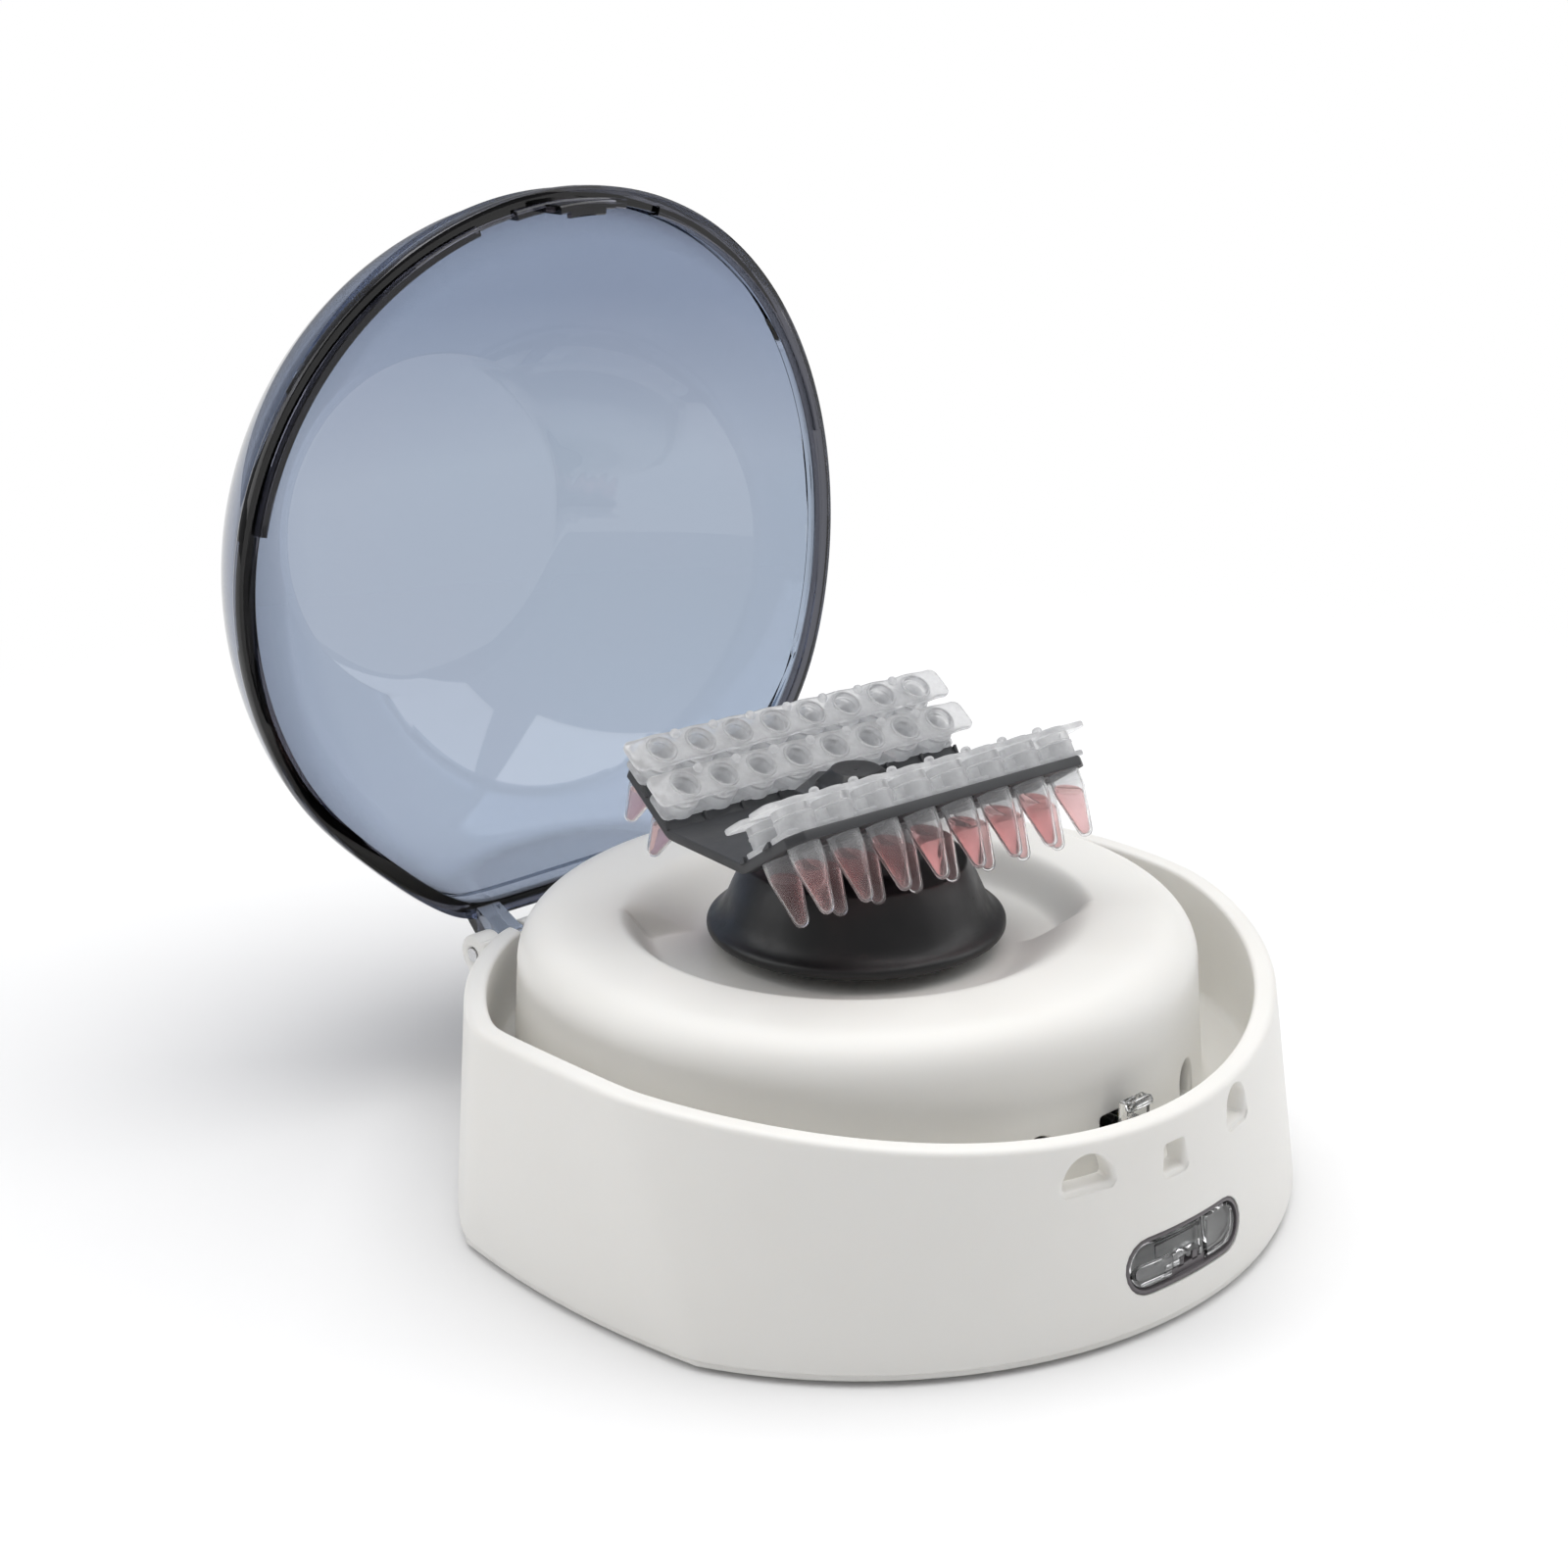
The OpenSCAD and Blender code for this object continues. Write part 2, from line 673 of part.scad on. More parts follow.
// thick bead round the edge
module lid_bead() {
  difference() {
    intersection() {
      cylinder(r = lid_r + 0.9, h = 60, $fn = large_fn);
      lid_flats(-0.5);
      below_rim(2.9);
    }
    intersection() {
      disc(-1, lid_r - lid_t - 0.6, 70, large_fn);
      lid_flats(lid_t + 0.5);
    }
  }
}
module lip_ring() {
  difference() {
    cylinder(r = lip_r, h = 60, $fn = large_fn);
    disc(-1, lip_inner_r, 62, large_fn);
  }
}
// inner lip that drops inside the rim, notched on both sides of the catch
module lid_lip() {
  difference() {
    intersection() {
      lip_ring();
      below_rim(1.5);
      translate([-80, -80, 0]) cube([160, 57.5, 60]);
    }
    below_rim(-1.4);
    for (side = [-1, 1]) rotate(side * 14.2) mid_box(-80, 20, [9.2, 20, 19.95]);
  }
}
// front catch: a short drop with a ledge for the latch hook
module lid_catch() {
  intersection() {
    lip_ring();
    mid_box(-80, 34, [14, 10, 6.6]);
  }
  intersection() {
    cylinder(r = 76, h = 60, $fn = large_fn);
    mid_box(-80, 34, [9, 6.45, 1.6]);
  }
}
module lid_lugs() {
  for (side = [-1, 1]) let(x = side * hinge_x) difference() {
    union() {
      extrude_x(x - lug_w / 2, lug_w)
        polygon([[hinge_y - 3.4, hinge_z - 2], [67.6, 39.8], [67.6, 46], [69.6, 46],
          [hinge_y + 3.6, hinge_z + 1.6]]);
      hinge_rod(x - lug_w / 2, 4, lug_w, 64);
    }
    hinge_rod(x - 4, 1.55, 8, 48);
  }
}
module lid_closed() {
  difference() {
    union() {
      difference() {
        lid_solid(0);
        lid_solid(lid_t);
      }
      lid_bead();
    }
    // lower edge follows the rim
    below_rim(0.35);
  }
  lid_lip();
  lid_catch();
  lid_lugs();
}
module lid() color([0.45, 0.52, 0.6, 0.6]) {
  translate([0, hinge_y, hinge_z]) rotate([-lid_open_angle, 0, 0])
    translate([0, -hinge_y, -hinge_z]) lid_closed();
}

// ---------- rotor ----------
fold_y = 11.5; // rotor axis to the fold of each wing
plate_t = 2;
boss_h = 3.9; // hexagonal boss on the plate
knob_z = plate_z + boss_h;
knob_screw_r = 1.22;
row_up = [5.1, 14.1]; // strip rows, measured up the wing from the fold
tube_count = 8;
row_len = (tube_count - 1) * tube_pitch;

module on_rotor() { rotate(rotor_rest) children(); }
// frame on a wing: x along the strip, y up the slope, z out of the wing's face
module on_wing(side) {
  on_rotor() rotate(side > 0 ? 0 : 180) translate([0, fold_y, plate_z])
    rotate([wing_angle, 0, 0]) children();
}
// a centred row at tube pitch
module in_row(count = tube_count) {
  for (i = [0:count - 1]) translate([(i - (count - 1) / 2) * tube_pitch, 0, 0]) children();
}

// [radius, height]
hub_profile = [[0, 61], [18.6, 61], [21, 58.6], [23.8, 54], [26.4, 50.6], [29.1, 50.6],
  [29.1, 52], [28.5, 52.5], [27.2, 53.3], [26.2, 54.4], [25.4, 55.8], [24.2, 58.2],
  [23, 60.8], [21.5, 64], [21, 64.3], [13, 64.3], [12.4, 65],
  [12.4, plate_z - 2.05], [0, plate_z - 2.05]];
module rotor_hub() color([0.07, 0.07, 0.08]) difference() {
  rotate_extrude($fn = 128) polygon(hub_profile);
  disc(50, shaft_r + 0.01, 30, 64);
}

// point on the +Y wing's section: up the slope from the fold, and below its face
function wing_point(up, below) = [
  fold_y + up * cos(wing_angle) + below * sin(wing_angle),
  plate_z + up * sin(wing_angle) - below * cos(wing_angle)];
// section of the folded plate as [across, height]
half_plate = [[fold_y, plate_z], wing_point(wing_w, 0), wing_point(wing_w, plate_t),
  [fold_y + plate_t * tan(wing_angle / 2), plate_z - plate_t]];
plate_profile = concat(half_plate,
  [for (i = [3:-1:0]) [-half_plate[i][0], half_plate[i][1]]]);

module rotor_plate() color([0.17, 0.18, 0.2]) difference() {
  union() {
    on_rotor() extrude_x(-plate_len / 2, plate_len) polygon(plate_profile);
    on_rotor() rotate(30) disc(plate_z - 1, 12, boss_h + 1, 6);
  }
  disc(60, shaft_r + 0.01, 20, 64);
  for (side = [-1, 1]) on_wing(side) {
    // cut corners of the wing
    for (end = [-1, 1]) translate([end * plate_len / 2, wing_w, -6])
      rotate(45) translate([-1.9, -1.9, 0]) cube([3.8, 3.8, 12]);
    // tube holes
    for (y = row_up) translate([0, y, -4]) in_row() cylinder(r = 3.3, h = 8, $fn = 48);
  }
}
module rotor_knob() color([0.05, 0.05, 0.06]) on_rotor() translate([0, 0, knob_z]) difference() {
  union() {
    disc(0.02, 7.8, 1.4, 64);
    hull() {
      rotate(30) disc(1.4, 7.7, 0.2, 6);
      disc(3.6, 4.9, 0.2, 48);
    }
    // screw into the shaft
    disc(70.4 - knob_z, knob_screw_r, 10, 32);
  }
  // room for the shaft's end round the screw
  translate([0, 0, -0.5]) difference() {
    cylinder(r = shaft_r + 0.05, h = 2.1, $fn = 48);
    disc(-1, knob_screw_r, 8, 32);
  }
}

// ---------- tube strips; profiles are [radius, height above the wing face] ----------
tip_r = 1.45;
tip_z = -13.8; // start of the tube's rounded tip
tube_outside = concat(
  [[0, 3.6], [3.7, 3.6], [3.7, 2.4], [3.75, 2.4], [3.75, 0.06], [3.2, 0.06], [3.12, -5.4],
   [tip_r, tip_z]],
  [for (i = [1:3]) let(a = i * 30) [tip_r * cos(a), tip_z - 1.25 * sin(a)]]);
tube_inside = [[0, 4], [2.85, 4], [2.8, 0], [2.72, -5.5], [1.05, -13.6], [0.6, -14.4],
  [0, -14.5]];
sample_profile = [[0, -5.9], [2.62, -5.9], [1.02, -13.58], [0.57, -14.36], [0, -14.46]];

// one row of eight joined 0.2 ml tubes
module tube_row() {
  difference() {
    union() {
      in_row() rotate_extrude($fn = 48) polygon(tube_outside);
      mid_box(-3, 0.06, [row_len + 8.8, 6, 1]);
    }
    in_row() rotate_extrude($fn = 48) polygon(tube_inside);
  }
}
module cap_row() {
  difference() {
    union() {
      in_row() {
        disc(3.66, 3.7, 2.2, 48);
        disc(1.6, 2.76, 3, 48);
      }
      // small pegs between the caps
      in_row(tube_count - 1) translate([0, 2.9, 6]) cylinder(r = 0.8, h = 1.2, $fn = 20);
      mid_box(-3.75, 5.4, [row_len + 14.8, 7.5, 1.05]);
    }
    in_row() disc(2.5, 2.25, 6, 48);
  }
}

// strips 0 and 1 sit on the +Y wing, 2 and 3 on the -Y wing, lower row first
module strip_place(index) {
  on_wing(index < 2 ? 1 : -1) translate([0, row_up[index % 2], 0]) children();
}
module tube_strip(index) color([0.9, 0.92, 0.94, 0.5]) strip_place(index) tube_row();
module cap_strip(index) color([0.92, 0.94, 0.96, 0.7]) strip_place(index) cap_row();
module sample(index) color([0.95, 0.5, 0.55]) {
  strip_place(index) in_row() rotate_extrude($fn = 48) polygon(sample_profile);
}

housing();
base_plate();
rubber_feet();
base_screws();
hinge_pins();
button_bezel();
latch_button();
latch_springs();
latch_guide();
guide_screws();
interlock_switch();
interlock_lever();
rocker_frame();
rocker();
power_jack();
motor_can();
motor_end_cap();
motor_bearings();
motor_bracket();
motor_screws();
mount_grommets();
bracket_screws();
motor_shaft();
motor_armature();
control_board();
board_parts();
board_screws();
motor_leads();
jack_leads();
switch_leads();
interlock_leads();
lid();
rotor_hub();
rotor_plate();
rotor_knob();
tube_strip(0);  // tube_strip_1
tube_strip(1);  // tube_strip_2
tube_strip(2);  // tube_strip_3
tube_strip(3);  // tube_strip_4
cap_strip(0);  // cap_strip_1
cap_strip(1);  // cap_strip_2
cap_strip(2);  // cap_strip_3
cap_strip(3);  // cap_strip_4
sample(0);  // sample_1
sample(1);  // sample_2
sample(2);  // sample_3
sample(3);  // sample_4
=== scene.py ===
"""Small bench centrifuge: white housing, smoked lid swung open, rotor with four 8-tube strips.

The rotor turns about +Z and the housing stands on z = 0. The release button is at the front
(-Y), the lid hinge at the back (+Y). Meshes are written in mm and stored in metres; material,
light and floor sizes are in metres.
"""
import json
import math

import bpy
import bmesh
import numpy as np
from mathutils import Matrix, Vector


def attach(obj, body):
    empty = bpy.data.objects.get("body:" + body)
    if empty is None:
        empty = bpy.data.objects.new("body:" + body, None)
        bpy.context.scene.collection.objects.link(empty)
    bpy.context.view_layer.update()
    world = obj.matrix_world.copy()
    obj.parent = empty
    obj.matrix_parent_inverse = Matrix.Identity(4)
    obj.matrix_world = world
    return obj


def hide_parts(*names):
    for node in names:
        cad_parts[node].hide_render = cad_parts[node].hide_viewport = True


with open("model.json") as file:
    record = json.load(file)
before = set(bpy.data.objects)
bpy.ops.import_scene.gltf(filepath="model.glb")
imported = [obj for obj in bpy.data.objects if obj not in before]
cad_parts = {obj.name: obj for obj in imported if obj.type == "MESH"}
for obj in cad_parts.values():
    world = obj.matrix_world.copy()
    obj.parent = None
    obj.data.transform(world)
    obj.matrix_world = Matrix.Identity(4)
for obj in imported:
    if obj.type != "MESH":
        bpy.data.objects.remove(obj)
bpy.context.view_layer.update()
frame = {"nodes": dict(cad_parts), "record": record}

MM = 0.001
SCENE = bpy.context.scene

# ---------------------------------------------------------------- driving dimensions (mm)
# housing
BASE_R, DRAFT, WALL = 87.0, 0.13, 3.2       # DRAFT: radius lost per mm of height
FOOT_Z, FOOT_ROUND = 2.15, 0.7
RIM_TOP, RIM_ARC, ARC_Y = 47.0, 357.0, -6.0  # the rim follows a wide arc in the YZ plane
ARC_Z = RIM_TOP - RIM_ARC
DECK, FLOOR_Z = 54.3, 47.6                  # island top and the floor of its bowl
BOWL_STEP = math.radians(-42)               # direction of one of the bowl's two steps
# hinge
HINGE_Y, HINGE_Z, LUG_X = 74.8, 32.5, 30.0
# lid, described closed
LID_R, LID_T = 78.0, 2.2
LID_REAR, LID_CORNER = 70.3, 77.2           # distance from the axis to the flattened sides
LID_BASE_Z, DOME_H, CROWN_R, CROWN_H = 45.0, 66.0, 38.0, 3.4
# rotor
PLATE_Z, PLATE_L, PLATE_T = 74.9, 72.0, 2.0
WING_DEG, FOLD_Y, WING_W = 34.0, 11.5, 18.1
WING = math.radians(WING_DEG)
BOSS_H = 3.9
ROTOR_TURN = math.radians(-5.2)
ROWS = (5.1, 14.1)                          # tube rows, measured up the wing from the fold
PITCH = 9.0
TUBES = 8
HALF_ROW = (TUBES - 1) / 2 * PITCH
# release button; sizes are width, height
BUTTON_Z = 13.2
SLOT, BEZEL, DISH, BUTTON = (31.7, 10.7), (31.4, 10.4), (29.9, 8.9), (29.3, 8.3)


# ---------------------------------------------------------------- mesh helpers
def new_object(verts, faces, smooth, name="part"):
    mesh = bpy.data.meshes.new(name)
    mesh.from_pydata([tuple(v) for v in np.asarray(verts) * MM], [], faces)
    mesh.validate()
    mesh.update()
    if smooth:
        shade_smooth(mesh)
    return link_object(mesh, name)


def link_object(data, name):
    ob = bpy.data.objects.new(name, data)
    SCENE.collection.objects.link(ob)
    return ob


def shade_smooth(mesh):
    mesh.polygons.foreach_set("use_smooth", [True] * len(mesh.polygons))


def fix_normals(ob):
    bm = bmesh.new()
    bm.from_mesh(ob.data)
    bmesh.ops.recalc_face_normals(bm, faces=bm.faces)
    bm.to_mesh(ob.data)
    bm.free()
    return ob


def apply_modifiers(ob):
    bpy.context.view_layer.update()
    graph = bpy.context.evaluated_depsgraph_get()
    mesh = bpy.data.meshes.new_from_object(
        ob.evaluated_get(graph), preserve_all_data_layers=True, depsgraph=graph)
    old = ob.data
    ob.modifiers.clear()
    ob.data = mesh
    bpy.data.meshes.remove(old)


def boolean(ob, tool, operation="DIFFERENCE"):
    """Apply the tool to ob and delete the tool."""
    mod = ob.modifiers.new("boolean", "BOOLEAN")
    mod.operation = operation
    mod.solver = "EXACT"
    mod.object = tool
    apply_modifiers(ob)
    bpy.data.objects.remove(tool, do_unlink=True)


def bevel(ob, width, segments, angle):
    mod = ob.modifiers.new("bevel", "BEVEL")
    mod.width = width * MM
    mod.segments = segments
    mod.limit_method = "ANGLE"
    mod.angle_limit = math.radians(angle)
    apply_modifiers(ob)


def join(parts, name="part"):
    bm = bmesh.new()
    for part in parts:
        bm.from_mesh(part.data)
    mesh = bpy.data.meshes.new(name)
    bm.to_mesh(mesh)
    bm.free()
    for part in parts:
        bpy.data.objects.remove(part, do_unlink=True)
    ob = link_object(mesh, name)
    shade_smooth(mesh)
    return ob


def move(ob, matrix):
    ob.data.transform(matrix)
    ob.data.update()
    return ob


def turn(angle, axis="Z"):
    return Matrix.Rotation(angle, 4, axis)


def shift(x, y, z):
    return Matrix.Translation(Vector((x, y, z)) * MM)


def vertex_coords(mesh):
    coords = np.empty(len(mesh.vertices) * 3)
    mesh.vertices.foreach_get("co", coords)
    return coords.reshape(-1, 3)


def add_attribute(mesh, name, values):
    layer = mesh.attributes.new(name, "FLOAT", "POINT")
    layer.data.foreach_set("value", values.astype(np.float32))


def loft(sections, name="part"):
    """Solid through 3-D rings of equal length, capped at both ends."""
    n = len(sections[0])
    verts = [p for section in sections for p in section]
    faces = [tuple(range(n))[::-1], tuple(range((len(sections) - 1) * n, len(sections) * n))]
    for k in range(len(sections) - 1):
        for i in range(n):
            j = (i + 1) % n
            faces.append((k * n + i, k * n + j, (k + 1) * n + j, (k + 1) * n + i))
    return fix_normals(new_object(verts, faces, False, name))


def prism(axis, outline, start, end, name="part"):
    """Sweep an outline along one axis; its points hold the other two, in x, y, z order."""
    i = "xyz".index(axis)
    return loft([[(*p[:i], at, *p[i:]) for p in outline] for at in (start, end)], name)


def box(x0, x1, y0, y1, z0, z1):
    return prism("z", [(x0, y0), (x1, y0), (x1, y1), (x0, y1)], z0, z1)


def revolve(profile, seg, name="part"):
    """Turn (radius, z) points about Z; a point with radius 0 becomes one pole vertex."""
    verts, rings = [], []
    for r, z in profile:
        if r <= 1e-9:
            rings.append([len(verts)])
            verts.append((0, 0, z))
        else:
            rings.append(list(range(len(verts), len(verts) + seg)))
            verts += [(x, y, z) for x, y in circle(r, seg)]
    faces = []
    # without poles the profile is a closed loop
    is_loop = len(rings[0]) > 1 and len(rings[-1]) > 1
    for i in range(len(rings) if is_loop else len(rings) - 1):
        low, high = rings[i], rings[(i + 1) % len(rings)]
        for k in range(seg):
            j = (k + 1) % seg
            if len(low) == 1:
                faces.append((low[0], high[k], high[j]))
            elif len(high) == 1:
                faces.append((low[k], low[j], high[0]))
            else:
                faces.append((low[k], low[j], high[j], high[k]))
    return fix_normals(new_object(verts, faces, True, name))


def cylinder(radius, z0, z1, seg):
    return revolve([(0, z0), (radius, z0), (radius, z1), (0, z1)], seg)


class Rings:
    """Rings of points round Z, with one point per direction in every ring."""

    def __init__(self, count):
        self.angle = np.linspace(0, 2 * np.pi, count, endpoint=False)
        self.cos, self.sin = np.cos(self.angle), np.sin(self.angle)
        self.rows = []

    def add(self, radius, z):
        z = np.broadcast_to(z, self.angle.shape)
        self.rows.append(np.stack([radius * self.cos, radius * self.sin, z], -1))

    def arc(self, radius, z, bend, degrees):
        """Rings along an arc of radius bend, centred at (radius, z) in section."""
        for a in degrees:
            a = math.radians(a)
            self.add(radius + bend * math.cos(a), z + bend * math.sin(a))

    def points(self):
        return np.stack(self.rows, 1)


# ---------------------------------------------------------------- outlines and curves
def polar(radius, angle, cx=0.0, cy=0.0):
    return cx + radius * math.cos(angle), cy + radius * math.sin(angle)


def circle(radius, count, cx=0.0, cy=0.0):
    return [polar(radius, 2 * math.pi * k / count, cx, cy) for k in range(count)]


def arc(radius, start, end, steps, cx=0.0, cy=0.0):
    return [polar(radius, math.radians(start + (end - start) * k / steps), cx, cy)
            for k in range(steps + 1)]


def round_rect(w, h, r, steps, cx=0.0, cy=0.0):
    points = []
    for sx, sy, start in ((1, 1, 0), (-1, 1, 90), (-1, -1, 180), (1, -1, 270)):
        points += arc(r, start, start + 90, steps, cx + sx * (w / 2 - r), cy + sy * (h / 2 - r))
    return points


def half_round(w, h, z0):
    """Half ellipse standing on z0, with small chamfers at its foot."""
    points = [(w / 2 - 0.5, z0), (w / 2, z0 + 0.5)]
    for k in range(1, 18):
        a = math.pi * k / 18
        points.append((w / 2 * math.cos(a), z0 + 0.5 + (h - 0.5) * math.sin(a)))
    return points + [(-w / 2, z0 + 0.5), (-w / 2 + 0.5, z0)]


def arch(w, h, z0):
    r = w / 2
    return ([(r - 0.4, z0), (r, z0 + 0.4)] + arc(r, 0, 180, 14, 0, z0 + h - r)
            + [(-r, z0 + 0.4), (-r + 0.4, z0)])


def offset_ring(points, distance):
    """Move a closed outline outward by distance, or inward if negative."""
    n = len(points)
    area = sum(points[i][0] * points[(i + 1) % n][1] - points[(i + 1) % n][0] * points[i][1]
               for i in range(n))
    sign = 1 if area > 0 else -1
    moved = []
    for i in range(n):
        before, here, after = (Vector(points[j]) for j in (i - 1, i, (i + 1) % n))
        edge_in = (here - before).normalized()
        edge_out = (after - here).normalized()
        normal_in = Vector((edge_in.y, -edge_in.x)) * sign
        mitre = normal_in + Vector((edge_out.y, -edge_out.x)) * sign
        mitre = mitre / max(mitre.length, 1e-6)
        reach = distance / max(0.5, mitre.dot(normal_in))
        moved.append((here.x + mitre.x * reach, here.y + mitre.y * reach))
    return moved


def smooth_min(values, blend):
    stack = np.stack(values)
    low = stack.min(0)
    return low - blend * np.log(np.exp(-(stack - low) / blend).sum(0))


def smoothstep(t):
    t = np.clip(t, 0, 1)
    return t * t * (3 - 2 * t)


# ---------------------------------------------------------------- node helpers
def rgba(color):
    return (*color, 1)


class Nodes:
    """Short calls that add nodes to one emptied tree."""

    def __init__(self, tree, output_kind):
        self.tree = tree
        tree.nodes.clear()
        self.out = self.add(output_kind)

    def add(self, kind, inputs=None, **settings):
        """Add a node; each input takes a socket to link or a value."""
        node = self.tree.nodes.new("ShaderNode" + kind)
        for key, value in settings.items():
            setattr(node, key, value)
        for key, value in (inputs or {}).items():
            if isinstance(value, bpy.types.NodeSocket):
                self.tree.links.new(value, node.inputs[key])
            else:
                node.inputs[key].default_value = value
        return node

    def output(self, shader):
        self.tree.links.new(shader, self.out.inputs["Surface"])

    def coords(self):
        return self.add("TexCoord").outputs["Object"]

    def attribute(self, name):
        return self.add("Attribute", attribute_name=name).outputs["Fac"]

    def noise(self, coords, scale, detail, rough):
        return self.add("TexNoise", {"Vector": coords, "Scale": scale, "Detail": detail,
                                     "Roughness": rough}).outputs["Fac"]

    def mapping(self, coords, scale, rotation=(0, 0, 0)):
        return self.add("Mapping", {"Vector": coords, "Scale": scale,
                                    "Rotation": rotation}).outputs["Vector"]

    def ramp(self, fac, stops):
        node = self.add("ValToRGB", {"Fac": fac})
        elements = node.color_ramp.elements
        for element, (position, color) in ((elements[0], stops[0]), (elements[1], stops[-1])):
            element.position = position
            element.color = rgba(color)
        for position, color in stops[1:-1]:
            elements.new(position).color = rgba(color)
        return node.outputs["Color"]

    def map_range(self, value, source, target, interpolation="LINEAR"):
        return self.add("MapRange", {
            "Value": value, "From Min": source[0], "From Max": source[1],
            "To Min": target[0], "To Max": target[1],
        }, interpolation_type=interpolation).outputs["Result"]

    def math(self, operation, a, b):
        return self.add("Math", {0: a, 1: b}, operation=operation).outputs[0]

    def radius(self, coords):
        """Distance from the Z axis."""
        xyz = self.add("SeparateXYZ", {"Vector": coords}).outputs
        squares = [self.math("MULTIPLY", xyz[i], xyz[i]) for i in (0, 1)]
        return self.math("SQRT", self.math("ADD", *squares), 0.0)

    def mix_color(self, factor, a, b, blend="MIX"):
        return self.add("Mix", {"Factor": factor, "A": a, "B": b},
                        data_type="RGBA", blend_type=blend).outputs["Result"]

    def mix_shader(self, factor, a, b):
        return self.add("MixShader", {0: factor, 1: a, 2: b}).outputs[0]

    def bevel(self, radius, samples):
        return self.add("Bevel", {"Radius": radius}, samples=samples).outputs["Normal"]

    def bump(self, height, strength, distance, normal=None):
        inputs = {"Height": height, "Strength": strength, "Distance": distance}
        if normal is not None:
            inputs["Normal"] = normal
        return self.add("Bump", inputs).outputs["Normal"]

    def output_see_through(self, shader, shadow_color):
        """Output the shader, but let shadow rays pass with a tint."""
        is_shadow = self.add("LightPath").outputs["Is Shadow Ray"]
        passing = self.add("BsdfTransparent", {"Color": shadow_color}).outputs[0]
        self.output(self.mix_shader(is_shadow, shader, passing))


def new_material(name):
    material = bpy.data.materials.new(name)
    material.use_nodes = True
    return material, Nodes(material.node_tree, "OutputMaterial")


# ---------------------------------------------------------------- materials
def plastic(name, dark, light, rough=(0.35, 0.5), grain=2600.0, bump_depth=0.00002, blotch=35.0,
            subsurface=0.0, specular=0.5, edge_mm=0.0, coat=0.0, edge_highlight=0.0,
            edge_highlight_color=(0.9, 0.9, 0.9), recolor=None):
    """Moulded plastic: blotched colour, fine grain, faint scratches and an optional painted
    highlight that lightens the edges in patches.
    """
    material, n = new_material(name)
    co = n.coords()
    color = n.ramp(n.noise(co, scale=blotch, detail=3, rough=0.5), [(0.3, dark), (0.7, light)])
    roughness = n.map_range(n.noise(co, scale=blotch * 4, detail=4, rough=0.6),
                            source=(0.3, 0.7), target=rough)
    # handling marks: stretched noise that only shows in the sheen
    marks = n.noise(n.mapping(co, scale=(40, 900, 700), rotation=(0.3, 0.2, 0.8)),
                    scale=1.0, detail=2, rough=0.5)
    roughness = n.math("ADD", roughness,
                       n.map_range(marks, source=(0.68, 0.76), target=(0.0, 0.10)))
    normal = n.bevel(radius=edge_mm * MM, samples=6) if edge_mm > 0 else None
    if edge_highlight > 0:
        # painted highlight, lighter in patches along the edges; edges are where the rounded
        # normal leaves the true one
        dot = n.add("VectorMath", {0: n.bevel(radius=0.5 * MM, samples=4),
                                   1: n.add("NewGeometry").outputs["Normal"]},
                    operation="DOT_PRODUCT").outputs["Value"]
        edge = n.map_range(dot, source=(0.99, 0.80), target=(0.0, edge_highlight))
        patches = n.map_range(n.noise(co, scale=260, detail=4, rough=0.7),
                              source=(0.42, 0.6), target=(0, 1))
        color = n.mix_color(n.math("MULTIPLY", edge, patches), color, rgba(edge_highlight_color))
    if recolor:
        color = recolor(n, color)
    fine = n.noise(co, scale=grain, detail=2, rough=0.6)
    inputs = {"Base Color": color, "Roughness": roughness, "Specular IOR Level": specular,
              "Normal": n.bump(fine, strength=0.35, distance=bump_depth, normal=normal)}
    if subsurface > 0:
        inputs.update({"Subsurface Weight": subsurface, "Subsurface Scale": 0.6,
                       "Subsurface Radius": (0.004, 0.0035, 0.003)})
    if coat > 0:
        inputs.update({"Coat Weight": coat, "Coat Roughness": 0.12})
    n.output(n.add("BsdfPrincipled", inputs).outputs[0])
    return material


def light_dish(n, color):
    """Keep the bezel's rim and tab dark, but make the floor behind the clear button light."""
    inside = n.map_range(n.radius(n.coords()), source=(0.0816, 0.0821), target=(1.0, 0.0))
    return n.mix_color(inside, color, rgba((0.88, 0.89, 0.86)))


def metal(name, dark, light, rough=(0.22, 0.4), stretch=(20, 20, 2500)):
    """Brushed metal; stretch sets the noise scale along each axis."""
    material, n = new_material(name)
    co = n.coords()
    brush = n.noise(n.mapping(co, scale=stretch), scale=1.0, detail=3, rough=0.6)
    tone = n.noise(co, scale=120, detail=4, rough=0.6)
    n.output(n.add("BsdfPrincipled", {
        "Metallic": 1.0,
        "Base Color": n.ramp(tone, [(0.3, dark), (0.7, light)]),
        "Roughness": n.map_range(brush, source=(0.3, 0.7), target=rough),
        "Normal": n.bump(brush, strength=0.2, distance=0.00001),
    }).outputs[0])
    return material


